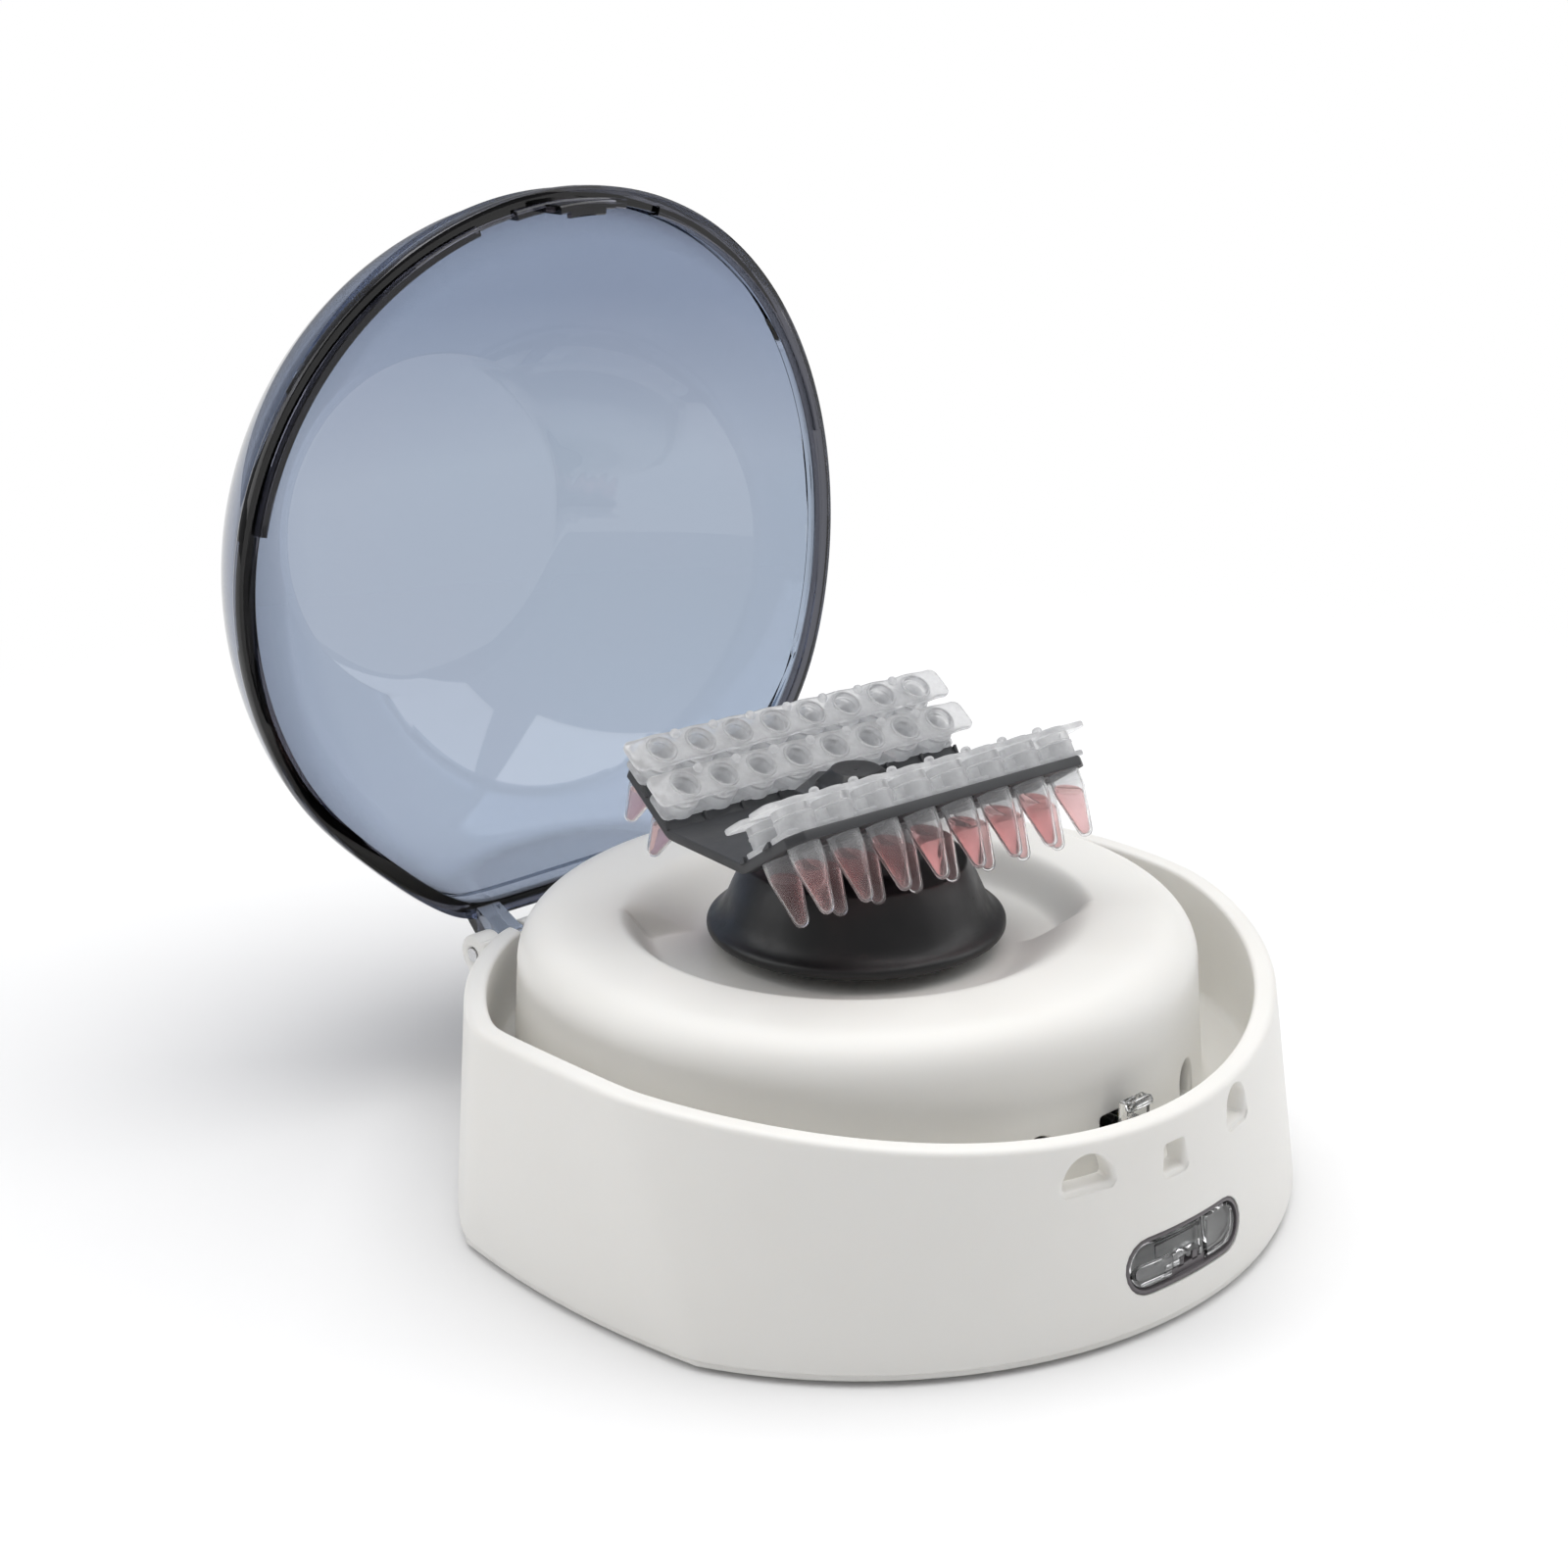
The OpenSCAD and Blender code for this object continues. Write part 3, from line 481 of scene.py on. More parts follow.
def clear_plastic(name, tint, rough, ior, shadow, bump_depth=0.0, rough_var=0.0, milky=0.0,
                  milk_color=None, milk_attribute=None):
    """Refracting body with some milky scatter and light shadows."""
    material, n = new_material(name)
    co = n.coords()
    lighter = tuple(min(1, c * 1.04) for c in tint)
    grain = {"scale": 900.0, "rough": 0.6}
    tone = n.noise(co, scale=140, detail=3, rough=0.6)
    shader = n.add("BsdfPrincipled", {
        "Transmission Weight": 1.0,
        "IOR": ior,
        "Base Color": n.ramp(tone, [(0.3, tint), (0.7, lighter)]),
        "Roughness": n.map_range(n.noise(co, detail=3, **grain), source=(0.3, 0.7),
                                 target=(max(0.0, rough - rough_var / 2), rough + rough_var)),
        "Normal": n.bump(n.noise(co, detail=2, **grain), strength=0.3, distance=bump_depth),
    }).outputs[0]
    if milky > 0:
        milk = n.mix_shader(0.55, *(n.add(kind, {"Color": rgba(milk_color)}).outputs[0]
                                    for kind in ("BsdfDiffuse", "BsdfTranslucent")))
        amount = n.map_range(n.noise(co, scale=260, detail=3, rough=0.6), source=(0.35, 0.65),
                             target=(milky * 0.88, milky * 1.12))
        if milk_attribute:
            amount = n.math("MULTIPLY", amount, n.attribute(milk_attribute))
        shader = n.mix_shader(amount, shader, milk)
    n.output_see_through(shader, rgba(c * shadow for c in tint))
    return material


# facing value, tint: the tint deepens at grazing angles
SMOKE_TINTS = [(0.0, (0.27, 0.325, 0.435)), (0.5, (0.25, 0.30, 0.41)), (0.75, (0.13, 0.15, 0.20)),
               (0.92, (0.03, 0.032, 0.042)), (1.0, (0.01, 0.01, 0.014))]


def smoked_plastic():
    """Thin smoked moulding, darkest at grazing angles and in the thick edge, with a painted
    reflection that makes it paler towards the hinge and +X.
    """
    material, n = new_material("smoked_polycarbonate")
    co = n.coords()
    facing = n.add("LayerWeight", {"Blend": 0.5}).outputs["Facing"]
    drift = n.ramp(n.noise(co, scale=22, detail=3, rough=0.5),
                   [(0.35, (0.985, 0.99, 1.0)), (0.65, (1.0, 0.985, 0.995))])
    color = n.mix_color(1.0, n.ramp(facing, SMOKE_TINTS), drift, blend="MULTIPLY")
    # painted reflection: paler towards the hinge and towards +X, where the concave inside would
    # mirror the white studio
    xyz = n.add("SeparateXYZ", {"Vector": co}).outputs
    painted_reflection = n.math("MULTIPLY", n.map_range(xyz[2], source=(0.158, 0.118), target=(0, 1)),
                   n.map_range(xyz[0], source=(-0.066, -0.030), target=(0, 1)))
    color = n.mix_color(painted_reflection, color, rgba((1.42, 1.38, 1.25)), blend="MULTIPLY")
    color = n.mix_color(n.attribute("edge"), color, rgba((0.02, 0.018, 0.022)))
    sheen = n.noise(co, scale=90, detail=4, rough=0.6)
    ripple = n.noise(co, scale=30, detail=2, rough=0.4)
    shader = n.add("BsdfPrincipled", {
        "Transmission Weight": 1.0,
        "IOR": 1.45,
        "Base Color": color,
        "Roughness": n.map_range(sheen, source=(0.35, 0.7), target=(0.015, 0.05)),
        "Normal": n.bump(ripple, strength=0.05, distance=0.00001),
    }).outputs[0]
    n.output_see_through(shader, color)
    return material


WIRES = {"red": (0.32, 0.02, 0.02), "black": (0.015, 0.015, 0.015), "blue": (0.02, 0.06, 0.3)}

MATERIALS = {
    "housing": plastic(
        "abs_off_white", dark=(0.84, 0.825, 0.79), light=(0.87, 0.86, 0.83), rough=(0.34, 0.46),
        grain=3200, bump_depth=0.000018, blotch=18, subsurface=0.10, edge_mm=0.45,
        specular=0.45),
    "grey_plastic": plastic(
        "abs_light_grey", dark=(0.55, 0.55, 0.54), light=(0.62, 0.62, 0.61), rough=(0.4, 0.55),
        edge_mm=0.3),
    # the lighter colour set on the edges below is a painted highlight
    "black": plastic(
        "black_satin", dark=(0.006, 0.006, 0.007), light=(0.012, 0.012, 0.013),
        rough=(0.32, 0.5), grain=2200, bump_depth=0.00003, edge_mm=0.35, edge_highlight=0.25,
        edge_highlight_color=(0.05, 0.05, 0.055)),
    # the lighter colour set on the edges below is a painted highlight
    "charcoal": plastic(
        "charcoal_moulded", dark=(0.026, 0.027, 0.030), light=(0.042, 0.043, 0.047),
        rough=(0.38, 0.55), grain=1900, bump_depth=0.00004, edge_mm=0.3, edge_highlight=0.35,
        edge_highlight_color=(0.13, 0.13, 0.14)),
    "bezel": plastic(
        "bezel_dark_grey", dark=(0.115, 0.104, 0.11), light=(0.135, 0.122, 0.13),
        rough=(0.3, 0.45), edge_mm=0.2, recolor=light_dish),
    "rubber": plastic(
        "rubber_black", dark=(0.010, 0.010, 0.011), light=(0.02, 0.02, 0.021),
        rough=(0.65, 0.85), grain=1400, bump_depth=0.00006, edge_mm=0.3, specular=0.35),
    "steel": metal("steel_plated", dark=(0.55, 0.55, 0.56), light=(0.68, 0.68, 0.69)),
    "motor_steel": metal("steel_zinc", dark=(0.42, 0.43, 0.44), light=(0.6, 0.61, 0.62),
                         rough=(0.3, 0.5), stretch=(600, 600, 30)),
    "copper": metal("copper_lacquered", dark=(0.45, 0.16, 0.06), light=(0.7, 0.3, 0.14),
                    rough=(0.3, 0.45), stretch=(30, 30, 1600)),
    "board": plastic("solder_mask", dark=(0.01, 0.11, 0.045), light=(0.02, 0.17, 0.07),
                     rough=(0.2, 0.35), grain=800, blotch=300, coat=0.4),
    **{f"wire_{key}": plastic(f"insulation_{key}", dark=color,
                              light=tuple(c * 1.25 for c in color), rough=(0.35, 0.5),
                              blotch=200)
       for key, color in WIRES.items()},
    "clear": clear_plastic("clear_acrylic", tint=(0.95, 0.955, 0.96), rough=0.03, ior=1.46,
                           shadow=0.85, bump_depth=0.00001, rough_var=0.06),
    "tube": clear_plastic("polypropylene_tube", tint=(0.97, 0.975, 0.98), rough=0.03, ior=1.22,
                          milky=0.40, milk_color=(0.93, 0.93, 0.94), shadow=0.95,
                          rough_var=0.02, milk_attribute="mk"),
    "cap": clear_plastic("polypropylene_cap", tint=(0.97, 0.975, 0.98), rough=0.06, ior=1.25,
                         milky=0.40, milk_color=(0.97, 0.97, 0.98), shadow=0.95,
                         rough_var=0.03),
    "sample": clear_plastic("pink_sample", tint=(0.965, 0.64, 0.635), rough=0.01, ior=1.12,
                            milky=0.05, milk_color=(0.85, 0.42, 0.42), shadow=0.93),
    "smoked": smoked_plastic(),
}


def finish_piece(ob, material, ride, sharp, replaces=None):
    shade_smooth(ob.data)
    ob.data.set_sharp_from_angle(angle=math.radians(sharp))
    ob.data.materials.clear()
    ob.data.materials.append(MATERIALS[material])
    if replaces:
        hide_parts(replaces)
    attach(ob, ride)


# ---------------------------------------------------------------- housing
def reach(angle, cx, cy, radius):
    """Distance from the Z axis to a circle centred at (cx, cy), in the given direction."""
    along = cx * np.cos(angle) + cy * np.sin(angle)
    return along + np.sqrt(along * along - (cx * cx + cy * cy) + radius * radius)


def wall_radius(angle, z):
    """Outer wall: round at the front, flatter at the sides, back corners and back."""
    main = BASE_R - DRAFT * z + 0 * angle
    sides = [reach(angle, s * 108, 2, 190 - 0.05 * z) for s in (1, -1)]
    corner = math.sqrt(0.5) * (79.5 - 150)
    corners = [reach(angle, s * corner, corner, 150 - 0.08 * z) for s in (1, -1)]
    rear = reach(angle, 0, 76 - 260, 260 - 0.083 * z)
    front = smooth_min([main] + sides, 0.22)
    return smooth_min([front] + corners + [rear], 0.8)


def rim_z(y, up=0.0):
    return ARC_Z + np.sqrt((RIM_ARC + up) ** 2 - (y - ARC_Y) ** 2)


def bowl_z(radius, angle):
    """Bowl whose slope narrows over each half turn, then steps back to full width."""
    phase = np.mod(BOWL_STEP - angle, math.pi) / math.pi
    width = 15.2 - 8.0 * phase ** 1.15
    width = 7.2 + (width - 7.2) * smoothstep(phase / 0.045)
    outer = 46.2 + 0.6 * phase
    return DECK - (DECK - FLOOR_Z) * smoothstep((outer - radius) / width)


def housing_shell():
    """One closed section carried round Z: wall, rim, channel, island, bowl, underside."""
    rings = Rings(900)
    angle, sin, add = rings.angle, rings.sin, rings.add

    def island(radius, back_y=65.0):
        flat = np.where(sin > 0.25, back_y / np.maximum(sin, 0.25), 400.0)
        return smooth_min([np.full(angle.shape, float(radius)), flat], 0.7)

    # the rim height depends on the wall radius, which depends on the height
    rim = np.full(angle.shape, 44.0)
    for _ in range(4):
        rim = rim_z(wall_radius(angle, rim) * sin)

    # outer wall from the rounded foot to the rim
    foot = wall_radius(angle, FOOT_Z) - FOOT_ROUND
    wall_z = FOOT_Z + FOOT_ROUND
    add(foot, FOOT_Z)
    rings.arc(foot, wall_z, FOOT_ROUND, (-60, -30))
    rim_round = 1.5
    wall_top = rim - rim_round
    for k in range(23):
        z = wall_z + (wall_top - wall_z) * k / 22
        add(wall_radius(angle, z), z)
    top_r = wall_radius(angle, wall_top)
    rings.arc(top_r - rim_round, wall_top, rim_round, range(15, 91, 15))
    add(top_r - 2.2, rim + 0.04)
    add(top_r - 3.0, rim + 0.02)
    inner_r, inner_round = top_r - 4.4, 0.9
    rings.arc(inner_r + inner_round, rim - inner_round, inner_round, range(90, 181, 18))

    # channel between the rim and the island
    channel_z, fillet, island_r = 21.8, 1.8, 68.3
    channel_r = wall_radius(angle, 22.0) - 4.0
    inner_z = rim - inner_round
    for k in range(1, 7):
        add(inner_r + (channel_r - inner_r) * k / 7, inner_z + (channel_z - inner_z) * k / 7)
    rings.arc(channel_r - fillet, channel_z, fillet, (0, -30, -60, -90))
    add(0.5 * (channel_r - fillet + island(island_r) + fillet), channel_z - fillet)
    rings.arc(island(island_r) + fillet, channel_z, fillet, (270, 240, 210, 180))

    # island, straight across the back
    for f in np.linspace(0.12, 1, 10):
        add(island(68.2 + (66.5 - 68.2) * f), channel_z + (45.5 - channel_z) * f)
    for a in range(6, 91, 6):
        a = math.radians(a)
        add(island(57 + 9.5 * math.cos(a) ** 0.92), 45.5 + 8.8 * math.sin(a) ** 0.92)
    for r in (55, 52.5, 50, 48.5):
        add(r, DECK)
    for r in np.arange(47.5, 29.4, -0.6):
        add(r, bowl_z(r, angle))
    for r in (26, 20, 13, 8, 7.1):
        add(r, FLOOR_Z)
    add(6.7, FLOOR_Z - 0.15)
    add(6.5, FLOOR_Z - 0.5)

    # underside
    skin = 2.3
    add(6.5, FLOOR_Z - skin)
    add(20, FLOOR_Z - skin)
    for r in np.arange(30, 48, 1.5):
        add(r, bowl_z(r, angle) - skin)
    add(52, DECK - skin)
    inside_y = 62.6
    for a in range(90, -1, -15):
        a = math.radians(a)
        add(island(57 + 7.1 * math.cos(a), inside_y), 45.5 + 6.5 * math.sin(a))
    add(island(65.6, inside_y), 24)
    add(island(65.8, inside_y), 17.7)
    add(wall_radius(angle, 17.6) - 3.3, 17.7)
    for z in (10, FOOT_Z):
        add(wall_radius(angle, z) - WALL, z)

    points = rings.points()
    index = np.arange(points.shape[0] * points.shape[1]).reshape(points.shape[:2])
    after = np.roll(index, -1, axis=0)
    quads = np.stack([index, after, np.roll(after, -1, axis=1), np.roll(index, -1, axis=1)], -1)
    return fix_normals(new_object(points.reshape(-1, 3), quads.reshape(-1, 4).tolist(), True,
                                  "housing_shell"))


def window_cutter(outline, degrees, outside, inside, surface, flare):
    """Cutter for an (x, z) outline that widens at the surface radius to round the edge."""
    # distance from the axis, growth of the outline
    stations = ((outside, flare * 1.25), (surface + 0.15, flare * 1.2),
                (surface - 0.12, flare * 0.62), (surface - 0.42, flare * 0.26),
                (surface - 0.85, 0.05), (surface - 1.2, 0.0), (inside, 0.0))
    cutter = loft([[(x, -distance, z) for x, z in offset_ring(outline, growth)]
                   for distance, growth in stations])
    return move(cutter, turn(math.radians(degrees)))


def plain_wall_radius(z):
    return BASE_R - DRAFT * z


def cut_housing(housing):
    # outline, direction from the front in degrees, height at which the wall radius is taken
    wall_windows = ((half_round(9.8, 5.9, 31.0), -15.3, 34),
                    (round_rect(5.0, 5.2, 0.5, 4, 0, 31.3), -1.6, 31),
                    (arch(6.4, 7.0, 30.7), 12.2, 34))
    island_windows = ((half_round(8.4, 6.2, 27.4), -15.3),
                      (round_rect(8.4, 7.0, 0.5, 4, 0, 30.1), 0),
                      (arch(6.8, 8.2, 25.2), 22.5))
    openings = [window_cutter(outline, degrees, outside=90, inside=72.5,
                              surface=plain_wall_radius(z), flare=0.8)
                for outline, degrees, z in wall_windows]
    openings += [window_cutter(outline, degrees, outside=70.5, inside=60, surface=67.3, flare=0.4)
                 for outline, degrees in island_windows]
    # button slot
    w, h = SLOT
    r = h / 2
    slot = (arc(r, -90, 90, 10, w / 2 - r, BUTTON_Z)
            + arc(r, 90, 270, 10, -w / 2 + r, BUTTON_Z))
    openings.append(prism("y", slot, -95, -76))
    # room for the lid lugs
    for side in (-1, 1):
        x = side * LUG_X
        openings.append(box(x - 3.3, x + 3.3, 66.2, 86, 28, 60))
    # one rectangular and one round opening at the back, each in a shallow recess
    rect_x, rect_z, round_x, round_z, recess_y = 8, 10.6, -26.5, 13, 73.2
    openings.append(prism("y", round_rect(18.8, 11.4, 1.0, 3, rect_x, rect_z), 66, 80))
    openings.append(prism("y", circle(5.6, 48, round_x, round_z), 60, 90))
    recesses = [prism("y", round_rect(20.8, 13.8, 1.4, 4, rect_x, rect_z), recess_y, 80),
                prism("y", circle(8.2, 48, round_x, round_z), recess_y, 90)]
    boolean(housing, join(openings))
    boolean(housing, join(recesses))


def bored_plate(outline, x0, x1, bore, overshoot):
    """(y, z) outline between two x planes, bored along the hinge axis."""
    plate = prism("x", outline, x0, x1)
    boolean(plate, prism("x", circle(bore, 32, HINGE_Y, HINGE_Z), x0 - overshoot, x1 + overshoot))
    return plate


def hinge_ears():
    """Two ears on either side of each lid lug."""
    outline = ([(70.6, 20.5), (70.6, 36.6)] + arc(4.2, 125, -60, 12, HINGE_Y, HINGE_Z)
               + [(76.4, 26.6), (73.6, 21.6)])
    ears = []
    for side in (-1, 1):
        for near, far in ((20.8, 26.6), (33.4, 39.2)):
            x0, x1 = sorted((side * near, side * far))
            ear = bored_plate(outline, x0, x1, bore=1.5, overshoot=1)
            bevel(ear, width=0.7, segments=3, angle=50)
            ears.append(ear)
    return join(ears, "hinge_ears")


housing = housing_shell()
cut_housing(housing)
ears = hinge_ears()
finish_piece(housing, "housing", ride="base", sharp=40, replaces="housing")
finish_piece(ears, "housing", ride="base", sharp=40)

# ---------------------------------------------------------------- lid (built closed)
OPEN_LID = (shift(0, HINGE_Y, HINGE_Z) @ turn(math.radians(-90), "X")
            @ shift(0, -HINGE_Y, -HINGE_Z))

# outward from the wall, up from the edge
LID_BEAD = ((-0.2, 0.0), (0.55, 0.0), (0.82, 0.12), (0.9, 0.42), (0.9, 1.4), (0.9, 2.3),
            (0.75, 2.7), (0.35, 3.1), (0.0, 3.6))
# the same for the inner face, from the wall down to the edge
LID_INNER_EDGE = ((-0.15, 2.3), (-0.45, 1.7), (-0.6, 1.2), (-0.6, 0.35), (-0.5, 0.1),
                  (-0.25, 0.0))


def dome_height(r, radius, height):
    q = np.clip(r / radius, 0, 1) ** 0.875
    return height * np.sin(np.arccos(np.clip(q, 0, 1))) ** 1.1429


def lid_outline(rings, inset):
    """Circle flattened at the back and at the two back corners."""
    cos, sin = rings.cos, rings.sin
    limits = [np.full(sin.shape, LID_R - inset),
              np.where(sin > 0.2, (LID_REAR - inset) / np.maximum(sin, 0.2), 300)]
    for side in (1, -1):
        toward = (sin + side * cos) * math.sqrt(0.5)
        limits.append(np.where(toward > 0.3, (LID_CORNER - inset) / np.maximum(toward, 0.3), 300))
    return smooth_min(limits, 1.3)


def lid_shell():
    count = 720
    rings = Rings(count)
    add = rings.add
    outer = lid_outline(rings, 0.0)
    inner = lid_outline(rings, LID_T)
    edge = rim_z(outer * rings.sin, 0.35)
    shoulder = LID_BASE_Z + dome_height(CROWN_R, LID_R, DOME_H)
    crown_steps, dome_steps = 15, 30

    def crown_z(r):
        return shoulder + CROWN_H * (1 - (r / CROWN_R) ** 2)

    def within(r, outline):
        return smooth_min([np.full(count, r), outline], 0.9)

    # outer face: edge bead, wall, dome, crown
    for out, up in LID_BEAD:
        add(outer + out, edge + up)
    low = edge + 3.6
    for f in np.linspace(0.15, 1, 5):
        add(outer, np.maximum(low + 0.1 * f, low + (49.0 - low) * f))
    for i in range(1, dome_steps + 1):
        r = LID_R - (LID_R - CROWN_R) * (i / dome_steps) ** 1.7
        z = LID_BASE_Z + dome_height(r, LID_R, DOME_H)
        add(within(r, outer), np.maximum(z, edge + 4.2 + 0.02 * (LID_R - r)))
    for i in range(1, crown_steps):
        r = CROWN_R * (1 - i / crown_steps)
        add(r, crown_z(r))
    n_out = len(rings.rows)

    # inner face, from the crown back down to the edge
    crown_in, dome_in, height_in = CROWN_R - 0.3, LID_R - LID_T, DOME_H - LID_T
    for i in range(crown_steps - 1, 0, -1):
        r = crown_in * (1 - i / crown_steps)
        add(r, crown_z(r) - LID_T)
    gap = shoulder - LID_T - (LID_BASE_Z + dome_height(crown_in, dome_in, height_in))
    for i in range(dome_steps, 0, -1):
        r = dome_in - (dome_in - crown_in) * (i / dome_steps) ** 1.7
        z = LID_BASE_Z + dome_height(r, dome_in, height_in) + gap * smoothstep((60 - r) / 22.0)
        add(within(r, inner), np.maximum(z, edge + 3.9 + 0.02 * (dome_in - r)))
    low = edge + 2.6
    for f in (0.8, 0.55, 0.3, 0.1):
        add(inner, low + (49.0 - low) * f)
    for out, up in LID_INNER_EDGE:
        add(inner + out, edge + up)

    points = rings.points()
    m = points.shape[1]
    verts = points.reshape(-1, 3).tolist()
    pole = len(verts)
    verts += [(0, 0, crown_z(0)), (0, 0, crown_z(0) - LID_T)]
    faces = []
    for i in range(count):
        j = (i + 1) % count
        for k in range(m):
            if k != n_out - 1:
                k2 = (k + 1) % m
                faces.append((i * m + k, j * m + k, j * m + k2, i * m + k2))
        faces.append((i * m + n_out - 1, j * m + n_out - 1, pole))
        faces.append((j * m + n_out, i * m + n_out, pole + 1))
    return fix_normals(new_object(verts, faces, True, "lid_shell"))


def ring_band(inner, outer, start, end, low, high, steps=60, chamfer=0.25, on_rim=True):
    """Curved strip between two radii and two directions, in degrees from -Y.

    low and high are heights, measured from the rim arc if on_rim.
    """
    start, end = math.radians(start), math.radians(end)
    sections = []
    for k in range(steps + 1):
        a = start + (end - start) * k / steps - math.pi / 2
        cos, sin = math.cos(a), math.sin(a)
        z0, z1 = (float(rim_z(inner * sin, z)) if on_rim else z for z in (low, high))
        profile = ((inner, z1), (inner, z0 + chamfer), (inner + chamfer, z0),
                   (outer - chamfer, z0), (outer, z0 + chamfer), (outer, z1))
        sections.append([(r * cos, r * sin, z) for r, z in profile])
    return loft(sections)


def add_lid_details(lid):
    """Lip under the edge with two notches, a catch at the front and the hinge lugs."""
    lip = {"inner": 74.7, "outer": 76.6, "low": -1.4, "high": 1.6}
    notch_start, notch_end, lip_end = 10.6, 17.6, 76
    lips = [ring_band(start=notch_end, end=lip_end, **lip),
            ring_band(start=-lip_end, end=-notch_end, **lip)]
    front = ring_band(start=-notch_start, end=notch_start, steps=16, **lip)
    catch = {"low": 34.0, "chamfer": 0.3, "on_rim": False}
    boolean(front, ring_band(74.7, 76.45, -5.3, 5.3, high=41.0, steps=10, **catch), "UNION")
    boolean(front, ring_band(73.6, 75.6, -3.4, 3.4, high=35.6, steps=8, **catch), "UNION")
    outline = arc(4.0, 70, -180, 14, HINGE_Y, HINGE_Z) + [
        (67.8, 39.6), (67.8, 46.0), (69.2, 46.0), (71.0, 43.2), (74.5, 39.6)]
    lugs = [bored_plate(outline, side * LUG_X - 2.9, side * LUG_X + 2.9, bore=1.55,
                        overshoot=2.1)
            for side in (-1, 1)]
    boolean(lid, join(lips + [front] + lugs), "UNION")


def mark_lid_edge(lid):
    """Attribute "edge": 1 in the bead and lip, 0 in the wall, low at the back and the lugs."""
    closed = np.array(OPEN_LID.inverted())
    x, y, z = ((vertex_coords(lid.data) @ closed[:3, :3].T + closed[:3, 3]) / MM).T
    edge = 1.0 - smoothstep((z - rim_z(y, 0.35) - 1.6) / 1.6)
    at_lug = np.abs(np.abs(x) - LUG_X) < 3.2
    back = (y > 70.2) | (at_lug & (y > 67.5) & (z < 40.0))
    edge = np.maximum(edge, np.where(back, 0.25, 0))
    edge = np.where(at_lug & (y > 70.3), 0.15, edge)
    add_attribute(lid.data, "edge", edge)


lid = lid_shell()
add_lid_details(lid)
move(lid, OPEN_LID)
mark_lid_edge(lid)
finish_piece(lid, "smoked", ride="lid", sharp=35, replaces="lid")

# ---------------------------------------------------------------- rotor
TURNED = turn(ROTOR_TURN)


def wing_frame(side):
    """Frame on a wing's top face: x along the fold, y up the slope, z square to it."""
    half_turn = Matrix.Identity(4) if side > 0 else turn(math.pi)
    return TURNED @ half_turn @ shift(0, FOLD_Y, PLATE_Z) @ turn(WING, "X")


def plate_profile():
    """(y, z) section: flat middle with a wing rising on each side."""
    def on_wing(up, depth):
        return (FOLD_Y + up * math.cos(WING) + depth * math.sin(WING),
                PLATE_Z + up * math.sin(WING) - depth * math.cos(WING))

    bend = 1.6
    cy, cz = FOLD_Y - bend * math.tan(WING / 2), PLATE_Z + bend
    half = (arc(bend, -90, WING_DEG - 90, 5, cy, cz)
            + [on_wing(WING_W, 0), on_wing(WING_W, PLATE_T)]
            + arc(bend + PLATE_T, WING_DEG - 90, -90, 5, cy, cz))
    return half + [(-y, z) for y, z in half[::-1]]


def plate_ribs():
    """Small wedges between the tube seats, below and above the lower row."""
    ribs = []
    for side in (1, -1):
        for i in range(TUBES + 1):
            x = (i - TUBES / 2) * PITCH
            for y0, y1 in ((0.1, 1.75), (8.45, 10.75)):
                rib = loft([[(x - 0.45, y, -0.2), (x + 0.45, y, -0.2), (x + 0.3, y, top),
                             (x - 0.3, y, top)] for y, top in ((y0, 0.15), (y1, 0.9))])
                ribs.append(move(rib, wing_frame(side)))
    return ribs


def rotor_plate():
    plate = prism("x", plate_profile(), -PLATE_L / 2, PLATE_L / 2, "rotor_plate_v")
    move(plate, TURNED)
    cutters = []
    for side in (1, -1):
        wing = wing_frame(side)
        for y in ROWS:
            for i in range(TUBES):
                seat = cylinder(3.38, -4, 4, 40)
                cutters.append(move(seat, wing @ shift(i * PITCH - HALF_ROW, y, 0)))
        for end in (-1, 1):
            corner = box(-1.9, 1.9, -1.9, 1.9, -6, 6)
            cutters.append(move(corner, wing @ shift(end * PLATE_L / 2, WING_W, 0)
                                @ turn(math.pi / 4)))
    boolean(plate, join(cutters))
    boss = prism("z", arc(12.0, 30, 330, 5), PLATE_Z - 1, PLATE_Z + BOSS_H)
    boolean(plate, move(boss, TURNED), "UNION")
    boolean(plate, cylinder(2.6, PLATE_Z - 6, PLATE_Z + 8, 48))
    bevel(plate, width=0.3, segments=3, angle=38)
    return join([plate] + plate_ribs(), "rotor_plate_v")


finish_piece(rotor_plate(), "charcoal", ride="rotor", sharp=35,
             replaces="rotor_plate")

# radius, z: bore, underside, rolled skirt edge, flared skirt, ledge, neck
HUB_TOP = PLATE_Z - 2.05
HUB = [
    (2.55, HUB_TOP), (2.55, 61), (18.6, 61), (21.0, 58.6), (23.8, 54.0), (26.4, 51.0),
    (27.6, 50.65), (28.7, 50.6), (29.1, 50.75), (29.3, 51.1), (29.35, 51.5), (29.32, 52.0),
    (29.15, 52.4), (28.8, 52.72), (28.3, 52.98), (27.7, 53.35), (27.1, 53.85), (26.6, 54.45),
    (26.1, 55.2), (25.65, 56.1), (25.2, 57.1), (24.75, 58.2), (24.2, 59.4), (23.6, 60.7),
    (22.9, 62.0), (22.2, 63.2), (21.75, 63.9), (21.6, 64.15), (21.35, 64.3), (21.0, 64.32),
    (14.0, 64.32), (13.0, 64.5), (12.5, 65.1), (12.4, 66.0), (12.4, HUB_TOP),
]
finish_piece(revolve(HUB, 160, "rotor_hub_v"), "black", ride="rotor", sharp=40,
             replaces="rotor_hub")

